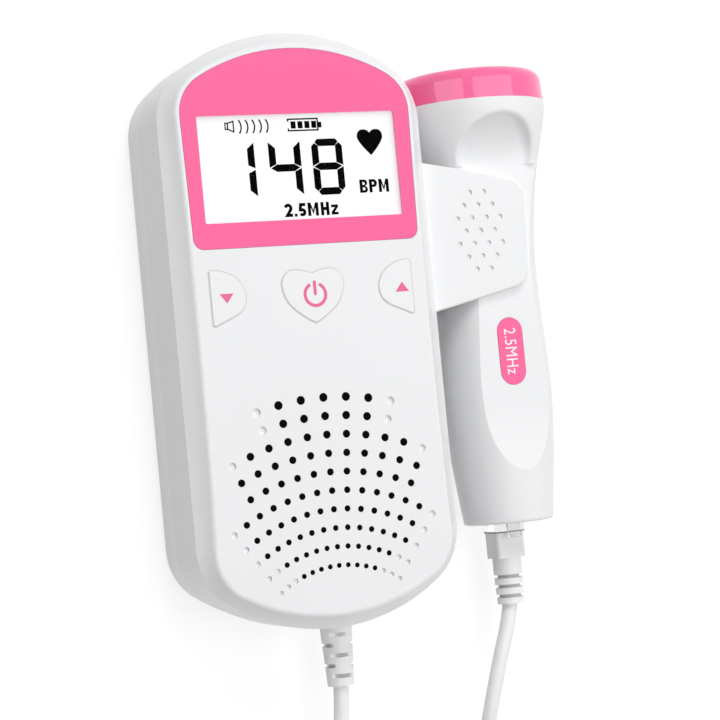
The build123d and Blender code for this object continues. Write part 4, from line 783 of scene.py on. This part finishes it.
class DOPPLER_OT_print_display(bpy.types.Operator):
    """Lay the display's marks on its glass and finish glass, lens and lamp"""

    bl_idname = "doppler.print_display"
    bl_label = "Display"

    def execute(self, context):
        colours = context.scene.doppler_colours
        height = context.scene.doppler_sizes.mark_height
        ink = Nodes("display_black")
        drift = ink.noise(300.0, 2.0)
        ink.set(Base_Color=ink.blend(drift, colours.ink, shade(colours.ink, 1.6)),
                Roughness=ink.vary(drift, 0.5, 0.6), Specular_IOR_Level=0.0)
        figures = [outline for digit in DIGITS for outline in segments(*digit)]
        words = []
        for signs, baseline in WORDS:
            for sign, left, right in signs:
                words += letter(sign, left, right, baseline, baseline + WORD_HEIGHT, WORD_STROKE)
        words += letter(*SMALL_LETTER)
        for name, outlines in (("display_figures", figures), ("display_symbols", self.symbols()),
                               ("display_words", words)):
            finish_piece(name, printed(outlines, GLASS_TOP, height), ink.material,
                         "main_unit")
        self.glass(colours)
        return {"FINISHED"}

    def symbols(self):
        """Loudspeaker with its waves, battery gauge and heart."""
        line = SYMBOL_LINE
        shapes = [
            straight([(-16.98, 45.5), (-16.2, 45.5), (-14.72, 44.82), (-14.72, 47.62),
                      (-16.2, 47.2), (-16.98, 47.2)]),
            rectangle(-16.7, -16.42, 45.78, 46.92),
            straight([(-16.1, 45.8), (-15.02, 45.28), (-15.02, 47.22), (-16.1, 46.92)]),
            heart(14.9, 21.28, 38.65, 44.65)]
        for k in range(5):
            edge = -12.9 + 1.615 * k
            shapes.append(strap((edge - 2.6, 46.15), 2.45, line, -38, 76, 3, False))
        left, right, low, high = -1.9, 5.66, 44.72, 47.66
        shapes += [straight([(left, low + 0.7), (left, low), (right, low), (right, high),
                             (left, high), (left, high - 0.7), (left + line, high - 0.7),
                             (left + line, high - line), (right - line, high - line),
                             (right - line, low + line), (left + line, low + line),
                             (left + line, low + 0.7)]),
                   rectangle(right + 0.02, 6.42, 45.42, 46.72)]
        for k in range(4):
            x = left + 0.85 + 1.68 * k
            shapes.append(rectangle(x - 0.03, x + 1.17, low + 0.64, high - 0.68))
        return shapes

    def glass(self, colours):
        """White lit glass with painted shade that dims its glow softly by the window's edge, its
        light guide and lens.
        """
        low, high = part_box("display_lens")
        m = Nodes("display_white")
        # Painted shade: within 1.3 mm of the window's edge the glow falls to 0.86 of the display's
        # white, as if the fascia shaded it.
        past = m.past_edge((low + high) / 2, WINDOW_HALF_X * MM, WINDOW_HALF_Y * MM)
        edge = m.spread(past, 0.0, 1.0, -1.3 * MM, 0.3 * MM, True)
        dim = m.blend(edge, colours.display, shade(colours.display, 0.86))
        m.set(Base_Color=shade(colours.display, 0.4), Roughness=0.45, Specular_IOR_Level=0.2,
              Emission_Color=dim, Emission_Strength=0.82)
        dress(m.material, "lcd_glass")
        lamp = moulded("light_guide", (0.85, 0.86, 0.88), 0.3, 900.0, 0.1)
        dress(lamp.material, "lcd_backlight")
        lens = Nodes("lens_acrylic")
        lens.set(Base_Color=(0.02, 0.02, 0.02), Alpha=0.02,
                 Roughness=lens.vary(lens.noise(300.0), 0.03, 0.06))
        dress(lens.material, "display_lens")


# ------------------------------------------------------------------ printed marks
class DOPPLER_OT_print_keys(bpy.types.Operator):
    """Print the power sign and the two arrows on the keys"""

    bl_idname = "doppler.print_keys"
    bl_label = "Key marks"

    def execute(self, context):
        height = context.scene.doppler_sizes.print_height
        ink = print_ink("key_ink", context.scene.doppler_colours.key_ink)
        power = [strap((0.32, 7.42), 2.5, 0.74, 122, 296, 10), self.bar(0.32, 7.2, 10.6, 0.76)]
        for name, body, marks in (
                ("power_mark", "power_key", power),
                ("down_mark", "down_key",
                 [straight([(-22.45, 8.85), (-19.15, 8.85), (-20.85, 6.7)])]),
                ("up_mark", "up_key",
                 [straight([(20.1, 6.8), (23.5, 6.8), (21.85, 9.0)])])):
            finish_piece(name, printed(marks, KEY_TOP, height), ink, body)
        return {"FINISHED"}

    def bar(self, x, low, high, width):
        """An upright stroke with round ends."""
        half, reach = width / 2, width * 0.276
        left, right, top, foot = x - half, x + half, high - half, low + half
        return [((left, top), (left, top), (left, top + reach)),
                ((x - reach, high), (x, high), (x + reach, high)),
                ((right, top + reach), (right, top), (right, top)),
                ((right, foot), (right, foot), (right, foot - reach)),
                ((x + reach, low), (x, low), (x - reach, low)),
                ((left, foot - reach), (left, foot), (left, foot))]


def print_ink(name, colour):
    """Pad-printed ink with a faint mottle."""
    m = Nodes(name)
    mottle = m.noise(900.0, 3.0)
    m.set(Base_Color=m.blend(mottle, shade(colour, 0.96), colour),
          Roughness=m.vary(mottle, 0.4, 0.52), Specular_IOR_Level=0.35)
    return m.material


class DOPPLER_OT_print_badge(bpy.types.Operator):
    """Print the working frequency on the probe's badge"""

    bl_idname = "doppler.print_badge"
    bl_label = "Badge mark"

    def execute(self, context):
        ink = print_ink("badge_ink", (0.92, 0.92, 0.93))
        mesh = lettered("2.5MHz", (48.75, -14.1), (51.75, -3.3), BADGE_TOP,
                        context.scene.doppler_sizes.print_height, -90.0, 1.05)
        finish_piece("badge_words", mesh, ink, "probe")
        return {"FINISHED"}


# ------------------------------------------------------------------ lead
MAIN_RUN = ((4.2, -80.5, 16.0), (4.1, -92.5, 15.4), (0.0, -104.5, 12.2),
            (-8.5, -114.5, 7.4), (-14.2, -126.0, 3.4), (-15.2, -138.5, 1.8))
PROBE_RUN = ((41.2, -127.0, 5.4), (41.2, -118.0, 5.4), (41.3, -106.5, 9.6),
             (42.6, -93.5, 14.0), (46.4, -80.0, 15.2), (49.3, -72.5, 15.2),
             (50.3, -66.99, 15.2))
COIL_CENTRE = (13.0, -142.0)
COIL_OUTER = 28.2
COIL_INNER = 12.3
CLIMB_TURNS = 0.25
CLIMB_INWARD = 6.0


class DOPPLER_OT_lay_lead(bpy.types.Operator):
    """Lay the lead from the case through its coil to the probe's plug"""

    bl_idname = "doppler.lay_lead"
    bl_label = "Lead"

    def execute(self, context):
        sizes = context.scene.doppler_sizes
        points = list(MAIN_RUN) + self.coil(sizes) + list(PROBE_RUN)
        route = self.spline(points)
        path = [tuple(v.co) for v in curve_mesh(route.copy()).vertices]
        route.bevel_depth = sizes.lead_diameter / 2
        route.bevel_resolution = 8
        route.use_fill_caps = True
        jacket = lead_rubber("lead", context.scene.doppler_colours)
        mesh = curve_mesh(route)
        mesh.shade_smooth()
        lead = finish_piece("lead", mesh, jacket.material)
        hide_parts("lead_main", "lead_coil", "lead_probe")
        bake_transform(lead)
        return {"FINISHED"}

    def coil(self, sizes):
        """Turns that wind inwards on the floor, climb one diameter and wind out again."""
        turns, count = sizes.coil_turns, sizes.coil_points
        low = sizes.lead_diameter / 2 / MM
        pitch = sizes.lead_diameter / MM
        climb = turns - CLIMB_TURNS
        points = []
        for k in range(round(2 * turns * count) + 1):
            t = k / count
            if t <= climb:
                radius = COIL_OUTER - pitch * t
            elif t <= turns:
                radius = COIL_OUTER - pitch * climb - CLIMB_INWARD * (t - climb)
            else:
                share = (t - turns) / turns
                radius = COIL_INNER + (COIL_OUTER - COIL_INNER) * share
            rise = min(max((t - climb) / CLIMB_TURNS, 0.0), 1.0)
            angle = math.pi + 2 * math.pi * t
            reach = radius / math.cos(math.pi / count)
            points.append((COIL_CENTRE[0] + reach * math.cos(angle),
                           COIL_CENTRE[1] + reach * math.sin(angle), low + pitch * rise))
        return points

    def spline(self, points):
        """A smooth curve by points in millimetres, from the first to the last."""
        curve = bpy.data.curves.new("lead_route", "CURVE")
        curve.dimensions = "3D"
        curve.resolution_u = 5
        line = curve.splines.new("NURBS")
        line.points.add(len(points) - 1)
        for knot, (x, y, z) in zip(line.points, points):
            knot.co = (x * MM, y * MM, z * MM, 1.0)
        line.order_u = 3
        line.use_endpoint_u = True
        return curve


# ------------------------------------------------------------------ stage
FLOOR_HALF = 4.0
LAMP_SIZE = 0.7
LAMP_AIM = (0.0, 0.0, 0.0)
CAP_CENTRE = (0.047, 0.054, 0.034)

# Each lamp: its name, its place seen from LAMP_AIM, and its power.
LAMPS = (
    ("top_lamp", (0.0, 0.0, 1.35), 8.0),
    ("display_end_lamp", (0.0, 0.955, 0.955), 8.9),
    ("probe_side_lamp", (0.955, 0.0, 0.955), 6.2),
    ("far_side_lamp", (-1.304, 0.0, 0.349), 2.2),
    ("foot_lamp", (0.0, -1.304, 0.349), 3.5),
)

# Each panel: its name, its place seen from CAP_CENTRE, its width and its height.
PANELS = (
    ("side_panel", (-1.164, 0.465, 0.825), 0.3, 1.2),
    ("top_panel", (0.388, 0.465, 1.373), 0.3, 1.8),
)

CAMERA_PLACE = (-0.184765, -0.025467, 0.482264)
CAMERA_FORWARD = (0.3964, 0.0354, -0.9174)
CAMERA_UP = (0.0734, 0.9948, 0.0702)
SENSOR_WIDTH = 36.0


def background_rays(tree):
    """1 for the rays that show the white background: camera, glossy and transmission rays."""
    rays = tree.nodes.new("ShaderNodeLightPath").outputs
    seen = rays["Is Camera Ray"]
    for name in ("Is Glossy Ray", "Is Transmission Ray"):
        either = tree.nodes.new("ShaderNodeMath")
        either.operation = "MAXIMUM"
        tree.links.new(seen, either.inputs[0])
        tree.links.new(rays[name], either.inputs[1])
        seen = either.outputs[0]
    return seen


class DOPPLER_OT_set_stage(bpy.types.Operator):
    """Put the object on a pale floor, under soft lamps, before the camera"""

    bl_idname = "doppler.set_stage"
    bl_label = "Stage"

    def execute(self, context):
        stage = context.scene.doppler_stage
        context.scene.view_settings.view_transform = "Standard"
        self.floor()
        self.world()
        for name, place, power in LAMPS:
            lamp = self.lamp(name, LAMP_AIM, place, LAMP_SIZE, LAMP_SIZE,
                             power * stage.brightness)
            lamp.visible_glossy = False
        for name, place, width, height in PANELS:
            glow = stage.panels * math.pi * width * height
            panel = self.lamp(name, CAP_CENTRE, place, width, height, glow)
            panel.visible_diffuse = False
            panel.visible_transmission = False
        self.camera(stage)
        return {"FINISHED"}

    def floor(self):
        bm = bmesh.new()
        bmesh.ops.create_grid(bm, x_segments=4, y_segments=4, size=FLOOR_HALF)
        mesh = mesh_of(bm, "floor")
        m = Nodes("floor_white")
        grain = m.noise(40.0, 3.0)
        pale = m.blend(grain, (0.79, 0.79, 0.79), (0.81, 0.81, 0.81))
        seen = background_rays(m.tree)
        m.set(Base_Color=m.blend(seen, pale, (0.3, 0.3, 0.3)), Roughness=0.9,
              Specular_IOR_Level=0.0, Emission_Color=(1.0, 1.0, 1.0),
              Emission_Strength=m.maths("MULTIPLY", seen, 0.78))
        mesh.materials.append(m.material)
        floor = put("floor", mesh)

    def world(self):
        world = bpy.data.worlds.new("studio")
        bpy.context.scene.world = world
        world.use_nodes = True
        tree = world.node_tree
        glow = next(n for n in tree.nodes if n.type == "BACKGROUND")
        tree.links.new(background_rays(tree), glow.inputs["Strength"])
        glow.inputs["Color"].default_value = (1.0, 1.0, 1.0, 1.0)

    def lamp(self, name, aim, place, width, height, power):
        """A soft box at a place seen from its aim, with its width along Y."""
        data = bpy.data.lights.new(name, "AREA")
        data.shape = "RECTANGLE"
        data.size, data.size_y = width, height
        data.energy = power
        lamp = put(name, data)
        back = Vector(place).normalized()
        side = (Vector((0, 1, 0)) - back * back.y).normalized()
        turn = Matrix((side, back.cross(side), back)).transposed().to_4x4()
        lamp.matrix_world = Matrix.Translation(Vector(aim) + Vector(place)) @ turn
        return lamp

    def camera(self, stage):
        data = bpy.data.cameras.new("camera")
        data.lens = stage.lens
        data.sensor_width = SENSOR_WIDTH
        data.clip_start, data.clip_end = 0.01, 20.0
        camera = put("camera", data)
        forward = Vector(CAMERA_FORWARD).normalized()
        right = forward.cross(Vector(CAMERA_UP)).normalized()
        turn = Matrix((right, right.cross(forward), -forward)).transposed().to_4x4()
        camera.matrix_world = Matrix.Translation(CAMERA_PLACE) @ turn
        bpy.context.scene.camera = camera


# ------------------------------------------------------------------ panel
SETTINGS = (("doppler_colours", DopplerColours), ("doppler_sizes", DopplerSizes),
            ("doppler_stage", DopplerStage))
STEPS = (DOPPLER_OT_set_stage, DOPPLER_OT_finish_case, DOPPLER_OT_fill_gaps,
         DOPPLER_OT_finish_probe, DOPPLER_OT_finish_inside, DOPPLER_OT_print_display,
         DOPPLER_OT_print_keys, DOPPLER_OT_print_badge, DOPPLER_OT_lay_lead)


class DOPPLER_PT_panel(bpy.types.Panel):
    """Lists the settings and the steps that dress the monitor"""

    bl_idname = "DOPPLER_PT_panel"
    bl_label = "Fetal doppler"
    bl_space_type = "VIEW_3D"
    bl_region_type = "UI"
    bl_category = "Fetal doppler"

    def draw(self, context):
        for name, group in SETTINGS:
            box = self.layout.box()
            box.label(text=name.split("_")[1].capitalize())
            for setting in group.__annotations__:
                box.prop(getattr(context.scene, name), setting)
        for step in STEPS:
            self.layout.operator(step.bl_idname)


CLASSES = (DopplerColours, DopplerSizes, DopplerStage, *STEPS, DOPPLER_PT_panel)


def register():
    for cls in CLASSES:
        bpy.utils.register_class(cls)
    for name, group in SETTINGS:
        setattr(bpy.types.Scene, name, PointerProperty(type=group))


def unregister():
    for name, _ in SETTINGS:
        delattr(bpy.types.Scene, name)
    for cls in reversed(CLASSES):
        bpy.utils.unregister_class(cls)


def main():
    register()
    for step in STEPS:
        group, name = step.bl_idname.split(".")
        getattr(getattr(bpy.ops, group), name)()


if __name__ == "__main__":
    main()
